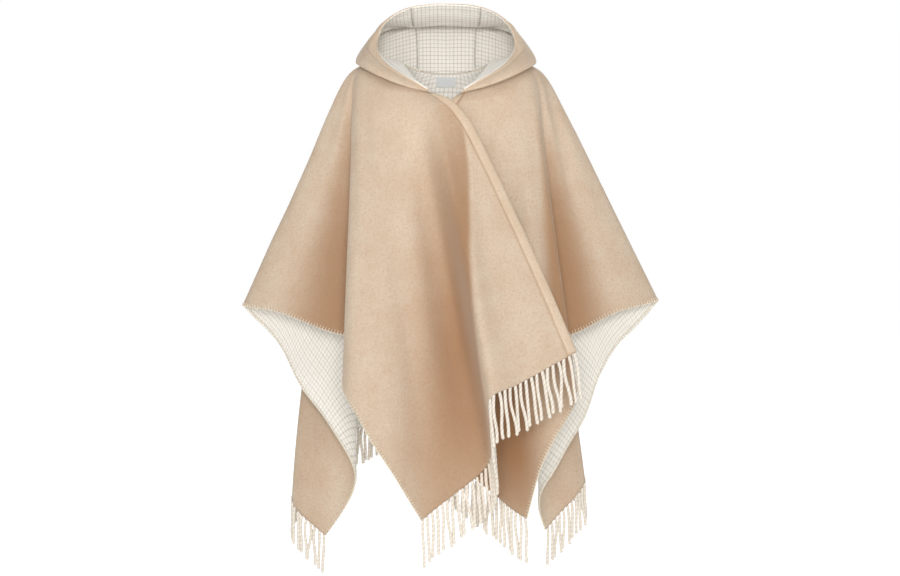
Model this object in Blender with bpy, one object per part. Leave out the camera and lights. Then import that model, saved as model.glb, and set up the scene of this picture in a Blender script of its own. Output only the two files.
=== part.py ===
"""A hooded blanket cloak, worn and hollow, in metres with +Z up and its front towards -Y.

The body is a fringed blanket with a slit front. It is drawn as folds that leave the neckline, round over
a shoulder yoke and fall straight to the hem, so the tables below have one row for each fold line.
The origin is the middle of the neck opening, level with the nape. "Over" is the front that laps on top,
and "right" and "left" are the wearer's, so right is towards -X.
"""

import math
from collections import namedtuple

import bmesh
import bpy
import numpy as np
from mathutils import Matrix, Vector

# Cloth and trim
CLOTH = 0.0030
SEAM = 0.0003
BAND_WIDTH = 0.017
BAND_THICK = 0.0022
BAND_TOP = 0.026
LABEL_WIDTH = 0.040
LABEL_TOP = 0.005
LABEL_DROP = 0.021
LABEL_THICK = 0.0008
LABEL_GAP = 0.0005

# The lap draws the neck and shoulders a little to the wearer's right
MIDDLE_X = -0.008

# Neckline: an ellipse that dips at the throat
NECK_HALF_WIDTH = 0.090
NECK_HALF_DEPTH = 0.090
NECK_MIDDLE_Y = -0.010
NECK_SIDE_Z = 0.024
NAPE_Z = 0.010
THROAT_Z = -0.054
NECK_FRONT_TURN = 14

# Yoke: where the cloth turns from the shoulders to hang down
YOKE_HALF_WIDTH = 0.190
YOKE_HALF_DEPTH = 0.120
YOKE_MIDDLE_Y = -0.005
SHOULDER_Z = 0.024
CHEST_Z = -0.085
BLADE_Z = -0.065
SHOULDER_ROUND = 0.020

# The over front stands clear of the under front: pushed out at the yoke, and lifted on the way to it
LAP_PUSH = 0.016
LAP_PUSH_FADES = (25, 75)
LAP_LIFT = (0.0, -0.0036, 0.0048)
LAP_LIFT_FADES = (15, 60)

# The level at which the fold rays are spread out, just below the lowest corner
FOOT_Z = -0.960

# Fringe
STRIP_DROP = 0.0060
STRIP_GAP = 0.0004
ROOT_DROP = 0.0035
FRONT_STRAND = 0.087
BACK_STRAND = 0.078
STRAND_RADIUS = 0.0022
STRAND_PITCH = 0.012
STRAND_APART = 0.0064
STRAND_SIDES = 3
STRAND_END_MARGIN = 0.004
STRAND_LEAN = 0.35
LEAN_REACH = 0.030
HEM_SAMPLES = 4000

# Turns are degrees round the neck: 0 is the throat, 90 the right shoulder, 180 the nape, 270 the left
Fold = namedtuple("Fold", "name turn hem_x hem_y hem_z bow_x bow_y")

OVER_FOLDS = [
    Fold("over_edge", -11, 0.236, -0.235, -0.546, 0.018, -0.010),
    Fold("over_face_out", -5, 0.177, -0.255, -0.577, 0.008, -0.012),
    Fold("over_face_in", 1, 0.120, -0.275, -0.607, 0.000, -0.016),
    Fold("lap_ridge", 7, 0.072, -0.285, -0.632, 0.002, -0.024),
    Fold("lap_wall", 13, 0.078, -0.243, -0.694, 0.000, 0.006),
    Fold("lap_valley", 19, 0.072, -0.196, -0.758, -0.006, 0.030),
    Fold("over_pan", 30, 0.015, -0.212, -0.810, -0.004, 0.010),
    Fold("over_corner", 42, -0.052, -0.235, -0.862, 0.000, -0.004),
    Fold("over_side_low", 49, -0.099, -0.250, -0.783, 0.000, -0.006),
    Fold("over_side_mid", 56, -0.145, -0.250, -0.713, 0.000, -0.006),
    Fold("over_side_high", 63, -0.179, -0.235, -0.656, 0.000, -0.008),
    Fold("over_ridge", 70, -0.204, -0.195, -0.611, -0.002, -0.010),
    Fold("over_wall", 75, -0.194, -0.150, -0.568, 0.000, 0.000),
    Fold("over_valley", 79, -0.181, -0.096, -0.529, 0.006, 0.014),
    Fold("over_arm_in", 83, -0.225, -0.082, -0.514, 0.000, 0.000),
    Fold("over_arm_mid", 86, -0.295, -0.066, -0.489, 0.000, 0.000),
    Fold("over_arm_out", 88, -0.365, -0.042, -0.468, 0.000, 0.000),
]
BACK_FOLDS = [
    Fold("right_tip", 90, -0.414, -0.004, -0.460, 0.000, 0.000),
    Fold("right_lining_1", 93, -0.386, 0.028, -0.492, 0.000, 0.000),
    Fold("right_lining_2", 96, -0.340, 0.038, -0.547, 0.000, 0.000),
    Fold("right_lining_3", 99, -0.298, 0.036, -0.629, 0.000, 0.000),
    Fold("right_lining_4", 103, -0.250, 0.034, -0.692, 0.000, 0.000),
    Fold("right_lining_5", 106, -0.210, 0.038, -0.757, 0.000, 0.000),
    Fold("right_valley", 109, -0.193, 0.055, -0.812, 0.000, 0.000),
    Fold("right_side_low", 112, -0.214, 0.075, -0.872, 0.000, 0.000),
    Fold("right_back_corner", 115, -0.256, 0.090, -0.934, 0.000, 0.000),
    Fold("right_flap", 119, -0.292, 0.100, -0.905, -0.020, 0.000),
    Fold("right_ridge", 123, -0.327, 0.120, -0.864, -0.034, 0.000),
    Fold("right_turn", 127, -0.312, 0.150, -0.822, -0.026, 0.000),
    Fold("right_back_1", 133, -0.262, 0.175, -0.770, 0.000, 0.000),
    Fold("right_back_2", 140, -0.196, 0.190, -0.722, 0.000, 0.004),
    Fold("back_ridge_1", 148, -0.140, 0.238, -0.703, 0.000, 0.006),
    Fold("back_valley_1", 158, -0.088, 0.196, -0.688, 0.000, 0.000),
    Fold("back_ridge_2", 168, -0.034, 0.242, -0.680, 0.000, 0.006),
    Fold("back_valley_2", 180, 0.016, 0.204, -0.676, 0.000, 0.000),
    Fold("back_ridge_3", 191, 0.066, 0.240, -0.681, 0.000, 0.006),
    Fold("back_valley_3", 202, 0.116, 0.198, -0.695, 0.000, 0.000),
    Fold("left_back_2", 213, 0.170, 0.206, -0.722, 0.000, 0.004),
    Fold("left_back_1", 222, 0.231, 0.178, -0.766, 0.000, 0.000),
    Fold("left_turn", 230, 0.270, 0.150, -0.805, 0.000, 0.000),
    Fold("left_ridge", 235, 0.279, 0.120, -0.827, 0.010, 0.000),
    Fold("left_flap", 239, 0.243, 0.102, -0.872, 0.000, 0.000),
    Fold("left_back_corner", 243, 0.197, 0.090, -0.922, 0.000, 0.000),
    Fold("left_side_low", 246, 0.184, 0.072, -0.880, 0.000, 0.000),
    Fold("left_valley", 248, 0.185, 0.052, -0.845, 0.000, 0.000),
    Fold("left_lining_5", 251, 0.208, 0.036, -0.800, 0.000, 0.000),
    Fold("left_lining_4", 254, 0.236, 0.033, -0.748, 0.000, 0.000),
    Fold("left_lining_3", 258, 0.270, 0.034, -0.690, 0.000, 0.000),
    Fold("left_lining_2", 262, 0.300, 0.037, -0.607, 0.000, 0.000),
    Fold("left_lining_1", 266, 0.350, 0.030, -0.527, 0.000, 0.000),
]
UNDER_FOLDS = [
    Fold("left_tip", 270, 0.416, -0.004, -0.450, 0.000, 0.000),
    Fold("under_arm_out", 273, 0.361, -0.042, -0.464, 0.000, 0.000),
    Fold("under_arm_mid", 277, 0.296, -0.062, -0.489, 0.000, 0.000),
    Fold("under_arm_in", 282, 0.251, -0.074, -0.512, 0.000, 0.000),
    Fold("under_valley", 287, 0.219, -0.080, -0.531, -0.006, 0.014),
    Fold("under_wall", 292, 0.231, -0.130, -0.573, 0.000, 0.000),
    Fold("under_ridge", 298, 0.242, -0.170, -0.621, 0.000, -0.014),
    Fold("under_side_high", 305, 0.230, -0.185, -0.659, 0.000, 0.000),
    Fold("under_side_mid", 312, 0.202, -0.195, -0.704, 0.000, 0.000),
    Fold("under_side_low", 319, 0.170, -0.190, -0.771, 0.000, 0.000),
    Fold("under_corner", 326, 0.145, -0.175, -0.866, 0.000, 0.000),
    Fold("under_hem_out", 333, 0.115, -0.150, -0.848, 0.000, 0.000),
    Fold("under_valley_in", 340, 0.086, -0.116, -0.826, 0.000, 0.016),
    Fold("under_face_out", 349, 0.038, -0.108, -0.790, 0.000, 0.016),
    Fold("under_face_in", 357, -0.019, -0.104, -0.740, 0.000, 0.012),
    Fold("under_edge", 366, -0.076, -0.108, -0.695, 0.000, 0.006),
]
ALL_FOLDS = OVER_FOLDS + BACK_FOLDS + UNDER_FOLDS
CORNERS = ["over_corner", "right_back_corner", "left_back_corner", "under_corner"]

# A panel's columns are about this far apart at the foot, and next to a band they spread back out
COLUMN_STEP = 0.034
MOST_STEPS = 3
BAND_BLEND = 0.30

# Rings from the neckline: the first few cross the shoulders at set distances, the rest fall to the hem
SHOULDER_RINGS = [0.0, 0.040, 0.075, 0.100, 0.125, 0.160]
FALL_RINGS = 7

# Hood: a row for each section of its right half, from the throat to the middle of the back. Each
# section starts at the neckline and passes through five more points to the rim.
Section = namedtuple("Section", "turn low back hump crease rim")
HOOD_SECTIONS = [
    Section(
        17, (-0.028, -0.104, -0.0470), (-0.031, -0.110, -0.0460), (-0.033, -0.114, -0.044),
        (-0.034, -0.1165, -0.042), (-0.0345, -0.1185, -0.039),
    ),
    Section(
        38, (-0.076, -0.099, -0.031), (-0.094, -0.113, -0.030), (-0.098, -0.110, -0.018),
        (-0.096, -0.101, -0.009), (-0.088, -0.091, -0.006),
    ),
    Section(
        62, (-0.118, -0.066, 0.009), (-0.151, -0.074, -0.002), (-0.156, -0.070, 0.018),
        (-0.147, -0.060, 0.031), (-0.129, -0.050, 0.034),
    ),
    Section(
        88, (-0.148, -0.018, 0.029), (-0.187, -0.014, 0.018), (-0.168, -0.006, 0.046),
        (-0.152, -0.008, 0.068), (-0.136, -0.020, 0.071),
    ),
    Section(
        113, (-0.142, 0.056, 0.022), (-0.166, 0.072, 0.036), (-0.146, 0.060, 0.084),
        (-0.136, 0.036, 0.100), (-0.122, 0.000, 0.105),
    ),
    Section(
        143, (-0.070, 0.135, 0.006), (-0.072, 0.146, 0.062), (-0.074, 0.116, 0.120),
        (-0.076, 0.074, 0.1125), (-0.078, 0.008, 0.1345),
    ),
    Section(
        180, (0.000, 0.152, 0.006), (0.000, 0.160, 0.066), (0.000, 0.124, 0.127),
        (0.000, 0.080, 0.1170), (0.000, 0.010, 0.1435),
    ),
]
POINT_REACH = [0.0, 0.20, 0.42, 0.64, 0.79, 1.0]
# Shares of the way from the neckline to the rim band
HOOD_RINGS = [0.0, 0.09, 0.19, 0.29, 0.40, 0.52, 0.64, 0.74, 0.83, 0.91, 1.0]
HOOD_RIGHT_COLUMNS = [17, 27, 38, 50, 62, 75, 88, 100, 113, 130, 147]
GUSSET_COLUMNS = [147, 158, 169, 180, 191, 202, 213]
HOOD_LEFT_COLUMNS = [213, 230, 247, 260, 272, 285, 298, 310, 322, 333, 343]
HOOD_LIFT = 0.0012
NARROWEST_RIM_REACH = 0.80

CAMEL = (0.60, 0.42, 0.27)
LIGHT_CAMEL = (0.66, 0.48, 0.32)
CREAM = (0.80, 0.73, 0.62)
PALE_BLUE = (0.62, 0.68, 0.72)
WOOL_ROUGHNESS = 0.95
LABEL_ROUGHNESS = 0.70
SHARP_ANGLE = math.radians(50)


# Curves through a table

def natural_spline(knots, values):
    """Smooth curve through the values at the knots, straightening at its ends."""
    knots, values = np.asarray(knots, float), np.asarray(values, float)
    count, gaps = len(knots), np.diff(knots)
    slopes = np.diff(values, axis=0) / gaps[:, None]
    matrix, right = np.eye(count), np.zeros_like(values)
    for i in range(1, count - 1):
        matrix[i, i - 1 : i + 2] = gaps[i - 1], 2 * (gaps[i - 1] + gaps[i]), gaps[i]
        right[i] = 6 * (slopes[i] - slopes[i - 1])
    bends = np.linalg.solve(matrix, right)

    def curve(at):
        i = np.clip(np.searchsorted(knots, at, side="right") - 1, 0, count - 2)
        gap = gaps[i][..., None]
        before = (at - knots[i])[..., None]
        after = gap - before
        cubic = (bends[i] * after**3 + bends[i + 1] * before**3) / (6 * gap)
        from_start = (values[i] / gap - bends[i] * gap / 6) * after
        to_end = (values[i + 1] / gap - bends[i + 1] * gap / 6) * before
        return cubic + from_start + to_end

    return curve


def steady_curve(knots, values):
    """A curve through single values that never overshoots them."""
    gaps = np.diff(knots)
    slopes = np.diff(values) / gaps
    tangents = np.zeros(len(knots))
    tangents[0], tangents[-1] = slopes[0], slopes[-1]
    for i in range(1, len(knots) - 1):
        if slopes[i - 1] * slopes[i] > 0:
            first = 2 * gaps[i] + gaps[i - 1]
            second = gaps[i] + 2 * gaps[i - 1]
            tangents[i] = (first + second) / (first / slopes[i - 1] + second / slopes[i])

    def curve(at):
        i = np.clip(np.searchsorted(knots, at, side="right") - 1, 0, len(knots) - 2)
        t = (at - knots[i]) / gaps[i]
        from_start = (1 + 2 * t) * (1 - t) ** 2 * values[i] + t * (1 - t) ** 2 * gaps[i] * tangents[i]
        to_end = t**2 * (3 - 2 * t) * values[i + 1] - t**2 * (1 - t) * gaps[i] * tangents[i + 1]
        return from_start + to_end

    return curve


def fade_out(value, low, high):
    """Falls smoothly from 1 at low to 0 at high."""
    t = np.clip((value - low) / (high - low), 0, 1)
    return 1 - t * t * (3 - 2 * t)


def length(vectors):
    return np.linalg.norm(vectors, axis=-1, keepdims=True)


# The two cloth surfaces. Each has point(across, along), with across round the neck.

def ring_point(turn, half_width, half_depth, middle_y, side_z, front_z, back_z):
    """Point on an ellipse round the neck whose height dips to the front and the back."""
    angle = np.radians(turn)
    sine, cosine = np.sin(angle), np.cos(angle)
    dip = np.where(cosine > 0, front_z - side_z, back_z - side_z) * cosine**2
    return np.stack([MIDDLE_X - half_width * sine, middle_y - half_depth * cosine, side_z + dip], axis=-1)


def neck_point(turn):
    return ring_point(
        turn, NECK_HALF_WIDTH, NECK_HALF_DEPTH, NECK_MIDDLE_Y, NECK_SIDE_Z, THROAT_Z, NAPE_Z
    )


def yoke_point(turn):
    """Where the cloth turns down. The over front is pushed out to clear the front beneath it."""
    half_depth = YOKE_HALF_DEPTH + LAP_PUSH * fade_out(turn, *LAP_PUSH_FADES)
    return ring_point(
        turn, YOKE_HALF_WIDTH, half_depth, YOKE_MIDDLE_Y, SHOULDER_Z, CHEST_Z, BLADE_Z
    )


def neck_turn(turn):
    """The fronts lap at the yoke but stop short of each other at the neckline."""
    ends = [ALL_FOLDS[0].turn, 90, 270, ALL_FOLDS[-1].turn]
    return np.interp(turn, ends, [NECK_FRONT_TURN, 90, 270, 360 - NECK_FRONT_TURN])


class Cape:
    """The draped blanket. Across runs from the over edge round the back to the under edge, in metres
    at the foot level, and along is the distance down the cloth from the neckline."""

    outward = 1

    def __init__(self, folds):
        turns = np.array([f.turn for f in folds], float)
        hems = np.array([[f.hem_x, f.hem_y, f.hem_z] for f in folds])
        bows = np.array([[f.bow_x, f.bow_y, 0.0] for f in folds])
        yokes = yoke_point(turns)
        share = ((yokes[:, 2] - hems[:, 2]) / (yokes[:, 2] - FOOT_Z))[:, None]
        feet = yokes + (hems - bows * 4 * share * (1 - share) - yokes) / share
        steps = length(np.diff(feet[:, :2], axis=0))[:, 0]
        self.knots = np.concatenate([[0.0], np.cumsum(steps)])
        self.at = {fold.name: knot for fold, knot in zip(folds, self.knots)}
        self.turn = steady_curve(self.knots, turns)
        self.foot = natural_spline(self.knots, feet)
        self.bow = natural_spline(self.knots, bows)
        ends = [self.knots[0], *(self.at[corner] for corner in CORNERS), self.knots[-1]]
        self.hem_curves = []
        for low, high in zip(ends, ends[1:]):
            inside = (self.knots >= low) & (self.knots <= high)
            self.hem_curves.append((high, steady_curve(self.knots[inside], hems[inside, 2])))

    def hem_z(self, across):
        """The height of the hem, cut sharply at the blanket's corners."""
        height = self.hem_curves[-1][1](across)
        for high, curve in reversed(self.hem_curves[:-1]):
            height = np.where(across <= high, curve(across), height)
        return height

    def legs(self, across):
        """The neckline, yoke and foot points of a fold line."""
        turn = self.turn(across)
        return neck_point(neck_turn(turn)), yoke_point(turn), self.foot(across)

    def hem_drop(self, across):
        neck, yoke, foot = self.legs(across)
        share = (yoke[..., 2] - self.hem_z(across)) / (yoke[..., 2] - FOOT_Z)
        return length(yoke - neck)[..., 0] + length(foot - yoke)[..., 0] * share

    def point(self, across, along):
        neck, yoke, foot = self.legs(across)
        over, down = length(yoke - neck), length(foot - yoke)
        along = along[..., None]
        fall = SHOULDER_ROUND * np.logaddexp(0, (along - over) / SHOULDER_ROUND)
        crossed, fallen = (along - fall) / over, fall / down
        bow = self.bow(across) * 4 * fallen * (1 - fallen)
        lapped = fade_out(self.turn(across), *LAP_LIFT_FADES)[..., None]
        lift = np.array(LAP_LIFT) * lapped * 4 * crossed * (1 - crossed)
        return neck + (yoke - neck) * crossed + (foot - yoke) * fallen + bow + lift


class Hood:
    """The hood. Across is the turn round the neck, and along runs from the neckline at 0 to the rim
    at 1."""

    outward = -1

    def __init__(self, sections):
        rows = [[s.turn, *s.low, *s.back, *s.hump, *s.crease, *s.rim] for s in sections]
        half = np.array(rows, float)
        other = half[-2::-1].copy()
        other[:, 0] = 360 - other[:, 0]
        other[:, 1::3] *= -1
        table = np.concatenate([half, other])
        table[:, 1::3] += MIDDLE_X
        self.points = natural_spline(table[:, 0], table[:, 1:])
        self.shares = natural_spline(POINT_REACH, np.eye(len(POINT_REACH)))

    def point(self, across, along):
        shares = self.shares(along)
        above = self.points(across).reshape(*np.shape(across), -1, 3)
        start = neck_point(across) + np.array([0, 0, HOOD_LIFT])
        return shares[..., :1] * start + np.einsum("...k,...kc->...c", shares[..., 1:], above)


CAPE = Cape(ALL_FOLDS)
HOOD = Hood(HOOD_SECTIONS)


def normal(surface, across, along):
    """Unit vectors out of the outer face."""
    small = 1e-4
    sideways = surface.point(across + small, along) - surface.point(across - small, along)
    down = surface.point(across, along + small) - surface.point(across, along - small)
    out = np.cross(sideways, down) * surface.outward
    return out / length(out)


def beside(surface, edge, inward, along, width):
    """The places a given width in from an edge, along a row of rings."""
    at_edge = np.full(np.shape(along), float(edge))
    small = 1e-3
    step = surface.point(at_edge + inward * small, along) - surface.point(at_edge, along)
    return at_edge + inward * width / (length(step)[..., 0] / small)


# Meshes

def make_material(name, color, roughness):
    material = bpy.data.materials.new(name)
    material.use_nodes = True
    shader = material.node_tree.nodes["Principled BSDF"]
    shader.inputs["Base Color"].default_value = (*color, 1)
    shader.inputs["Roughness"].default_value = roughness
    shader.inputs["Metallic"].default_value = 0
    material.diffuse_color = (*color, 1)
    return material


def add_object(name, mesh, material, collection):
    mesh.materials.append(material)
    mesh.shade_smooth()
    mesh.set_sharp_from_angle(angle=SHARP_ANGLE)
    body = bpy.data.objects.new(name, mesh)
    collection.objects.link(body)
    return body


def wall_mesh(name, outer, inner):
    """A closed wall between two grids of points, [column, ring], whose columns turn to the outer side."""
    columns, rings = outer.shape[:2]
    points = np.concatenate([outer.reshape(-1, 3), inner.reshape(-1, 3)])
    half = columns * rings
    front = np.arange(half).reshape(columns, rings)
    back = front + half
    faces = []
    for i in range(columns - 1):
        for j in range(rings - 1):
            faces.append((front[i, j], front[i + 1, j], front[i + 1, j + 1], front[i, j + 1]))
            faces.append((back[i, j], back[i, j + 1], back[i + 1, j + 1], back[i + 1, j]))
        faces.append((front[i, 0], back[i, 0], back[i + 1, 0], front[i + 1, 0]))
        faces.append((front[i, -1], front[i + 1, -1], back[i + 1, -1], back[i, -1]))
    for j in range(rings - 1):
        faces.append((front[0, j], front[0, j + 1], back[0, j + 1], back[0, j]))
        faces.append((front[-1, j], back[-1, j], back[-1, j + 1], front[-1, j + 1]))
    mesh = bpy.data.meshes.new(name)
    mesh.from_pydata(points.tolist(), [], [[int(v) for v in face] for face in faces])
    mesh.update()
    return mesh


def surface_wall(name, surface, across, along, outer_move, inner_move):
    """A wall that follows a surface, with its two faces moved along the surface's normals."""
    points, out = surface.point(across, along), normal(surface, across, along)
    outer, inner = points + out * outer_move, points + out * inner_move
    if surface.outward < 0:
        outer, inner = outer[::-1], inner[::-1]
    return wall_mesh(name, outer, inner)


# The cape's panels

def ring_alongs(across):
    """Distances down the cloth of a panel's rings, for places given as [column, ring]."""
    first = np.tile(SHOULDER_RINGS, (across.shape[0], 1))
    shares = np.arange(1, FALL_RINGS + 1) / FALL_RINGS
    falling = CAPE.hem_drop(across[:, len(SHOULDER_RINGS) :]) - SHOULDER_RINGS[-1]
    return np.concatenate([first, SHOULDER_RINGS[-1] + falling * shares], axis=1)


def panel_grid(first, last, banded_edge=None):
    """Places of a panel's points. The column beside a banded edge runs along the band's border."""
    knots = CAPE.knots[(CAPE.knots >= first) & (CAPE.knots <= last)]
    places = []
    for low, high in zip(knots, knots[1:]):
        steps = int(np.clip(math.ceil((high - low) / COLUMN_STEP), 2, MOST_STEPS))
        places.extend(np.linspace(low, high, steps, endpoint=False))
    places = np.array([*places, last])
    rings = len(SHOULDER_RINGS) + FALL_RINGS
    across = np.tile(places[:, None], (1, rings))
    along = ring_alongs(across)
    for edge, inward, column in ((first, 1, 0), (last, -1, -1)):
        if edge != banded_edge:
            across[column] = beside(CAPE, edge, inward, along[column], SEAM / 2)
            continue
        reach = np.abs(beside(CAPE, edge, inward, along[column], BAND_WIDTH) - edge)
        far = np.abs(places - edge)
        border = far[column + inward]
        for i in np.flatnonzero((far > 0) & (far < BAND_BLEND)):
            share = (far[i] - border) / (BAND_BLEND - border)
            across[i] = edge + inward * (reach + (BAND_BLEND - reach) * share)
    return across, ring_alongs(across)


def cape_panel(name, grid, material, collection):
    add_object(name, surface_wall(name, CAPE, *grid, 0, -CLOTH), material, collection)


def edge_band(name, grid, columns, material, collection):
    """A turned band on the panel's outermost pair of columns, from just below the hood's end."""
    across, along = (part[columns].copy() for part in grid)
    part_way = BAND_TOP / along[:, 1]
    across[:, 0] += (across[:, 1] - across[:, 0]) * part_way
    along[:, 0] = BAND_TOP
    mesh = surface_wall(name, CAPE, across, along, SEAM + BAND_THICK, SEAM)
    add_object(name, mesh, material, collection)


def neck_label(name, material, collection):
    """A bare label inside the back of the neck."""
    centre = np.full(4, CAPE.at["back_valley_2"])
    along = np.linspace(LABEL_TOP, LABEL_TOP + LABEL_DROP, 4)
    half = beside(CAPE, centre[0], 1, along, LABEL_WIDTH / 2) - centre
    across = centre + half * np.linspace(-1, 1, 7)[:, None]
    along = np.tile(along, (len(across), 1))
    inner = -CLOTH - LABEL_GAP
    mesh = surface_wall(name, CAPE, across, along, inner, inner - LABEL_THICK)
    add_object(name, mesh, material, collection)


# The fringe

def below_hem(across, distance):
    """How far down the cloth lies a point a given distance out from the hem, however it slants."""
    small = 1e-4
    drop, later = CAPE.hem_drop(across), CAPE.hem_drop(across + small)
    hem = CAPE.point(across + small, later) - CAPE.point(across, drop)
    ray = CAPE.point(across, drop) - CAPE.point(across, drop - small)
    sine = length(np.cross(hem, ray))[..., 0] / (length(hem) * length(ray))[..., 0]
    return drop + distance / sine


def strand_roots(first, last):
    """Roots and directions of the strands along a hem, thinned where the hem is steep or folded."""
    across = np.linspace(first, last, HEM_SAMPLES)
    along = below_hem(across, ROOT_DROP)
    roots = CAPE.point(across, along) - normal(CAPE, across, along) * CLOTH / 2
    rays = roots - CAPE.point(across, along - LEAN_REACH)
    hang = STRAND_LEAN * rays / length(rays) + (1 - STRAND_LEAN) * np.array([0, 0, -1.0])
    hang = hang / length(hang)
    walked = np.concatenate([[0], np.cumsum(length(np.diff(roots, axis=0))[:, 0])])
    chosen = []
    next_at = STRAND_END_MARGIN
    for i, at in enumerate(walked):
        if at < next_at or at > walked[-1] - STRAND_END_MARGIN:
            continue
        if chosen:
            offset = roots[chosen] - roots[i]
            offset -= (offset * hang[i]).sum(axis=1, keepdims=True) * hang[i]
            near = length(roots[chosen] - roots[i])[:, 0] < 2 * FRONT_STRAND
            if (length(offset)[:, 0][near] < STRAND_APART).any():
                continue
        chosen.append(i)
        next_at = at + STRAND_PITCH
    return roots[chosen], hang[chosen]


def fringe(name, grid, first, last, strand, material, collection):
    """A narrow strip just below a hem, with a strand of the given length hanging from each root."""
    places = grid[0][:, -1]
    places = places[(places >= first - 1e-6) & (places <= last + 1e-6)]
    across = np.tile(places[:, None], (1, 2))
    along = below_hem(across, np.array([STRIP_GAP, STRIP_DROP]))
    strip = add_object(name, surface_wall(name, CAPE, across, along, 0, -CLOTH), material, collection)
    strands = bmesh.new()
    for root, hang in zip(*strand_roots(first, last)):
        middle = Vector(root + hang * strand / 2)
        turned = Vector(hang).to_track_quat("Z", "Y").to_matrix().to_4x4()
        bmesh.ops.create_cone(
            strands, cap_ends=True, segments=STRAND_SIDES, radius1=STRAND_RADIUS, radius2=STRAND_RADIUS,
            depth=strand, matrix=Matrix.Translation(middle) @ turned,
        )
    cutter_mesh = bpy.data.meshes.new(name + "_strands")
    strands.to_mesh(cutter_mesh)
    strands.free()
    cutter = bpy.data.objects.new(name + "_strands", cutter_mesh)
    cutter.hide_render = True
    cutter.display_type = "WIRE"
    helpers.objects.link(cutter)
    union = strip.modifiers.new("strands", "BOOLEAN")
    union.operation = "UNION"
    union.solver = "EXACT"
    union.object = cutter


# The hood

def hood_grid(turns, seam_first, seam_last):
    """Places of a hood panel's points. Its last two rings are the rim band's middle and the rim."""
    turns, small = np.array(turns, float), 1e-3
    across = np.tile(turns[:, None], (1, len(HOOD_RINGS) + 2))
    rim = np.ones(len(turns))
    rate = length(HOOD.point(turns, rim) - HOOD.point(turns, rim - small)) / small
    border = np.maximum(1 - BAND_WIDTH / rate, NARROWEST_RIM_REACH)
    along = np.concatenate([np.array(HOOD_RINGS) * border, (1 + border) / 2, rim[:, None]], axis=1)
    if seam_first:
        across[0] = beside(HOOD, turns[0], 1, along[0], SEAM / 2)
    if seam_last:
        across[-1] = beside(HOOD, turns[-1], -1, along[-1], SEAM / 2)
    return across, along


def hood_panel(name, grid, material, collection):
    add_object(name, surface_wall(name, HOOD, *grid, 0, -CLOTH), material, collection)


def clear_scene():
    for body in list(bpy.data.objects):
        bpy.data.objects.remove(body, do_unlink=True)


clear_scene()
cloak = bpy.data.collections.new("hooded_blanket_cloak")
helpers = bpy.data.collections.new("helpers")
bpy.context.scene.collection.children.link(cloak)
bpy.context.scene.collection.children.link(helpers)

camel = make_material("camel_wool", CAMEL, WOOL_ROUGHNESS)
light_camel = make_material("camel_wool_band", LIGHT_CAMEL, WOOL_ROUGHNESS)
cream = make_material("cream_wool_fringe", CREAM, WOOL_ROUGHNESS)
pale_blue = make_material("woven_label", PALE_BLUE, LABEL_ROUGHNESS)

start, end = CAPE.knots[0], CAPE.knots[-1]
right_tip, left_tip = CAPE.at["right_tip"], CAPE.at["left_tip"]
over_grid = panel_grid(start, right_tip, banded_edge=start)
back_grid = panel_grid(right_tip, left_tip)
under_grid = panel_grid(left_tip, end, banded_edge=end)

cape_panel("front_over", over_grid, camel, cloak)
cape_panel("back", back_grid, camel, cloak)
cape_panel("front_under", under_grid, camel, cloak)
edge_band("band_over", over_grid, slice(0, 2), light_camel, cloak)
edge_band("band_under", under_grid, slice(-2, None), light_camel, cloak)
neck_label("label", pale_blue, cloak)

over_corner, under_corner = CAPE.at["over_corner"], CAPE.at["under_corner"]
right_corner, left_corner = CAPE.at["right_back_corner"], CAPE.at["left_back_corner"]
fringe("fringe_over", over_grid, start, over_corner, FRONT_STRAND, cream, cloak)
fringe("fringe_back", back_grid, right_corner, left_corner, BACK_STRAND, cream, cloak)
fringe("fringe_under", under_grid, under_corner, end, FRONT_STRAND, cream, cloak)

right_grid = hood_grid(HOOD_RIGHT_COLUMNS, False, True)
centre_grid = hood_grid(GUSSET_COLUMNS, True, True)
left_grid = hood_grid(HOOD_LEFT_COLUMNS, True, False)
hood_panel("hood_side_right", right_grid, camel, cloak)
hood_panel("hood_centre", centre_grid, camel, cloak)
hood_panel("hood_side_left", left_grid, camel, cloak)
rim_columns = HOOD_RIGHT_COLUMNS + GUSSET_COLUMNS[1:-1] + HOOD_LEFT_COLUMNS
rim_across, rim_along = (part[:, -3:] for part in hood_grid(rim_columns, False, False))
rim_mesh = surface_wall("hood_rim_band", HOOD, rim_across, rim_along, SEAM + BAND_THICK, SEAM)
add_object("hood_rim_band", rim_mesh, light_camel, cloak)
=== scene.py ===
# Hooded blanket cloak of double-faced wool, camel outside and cream with a fine check inside.
# Metres, +Z up, front towards -Y. "Over" is the front that laps on top. Right and left are the wearer's.
import math
import random

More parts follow.
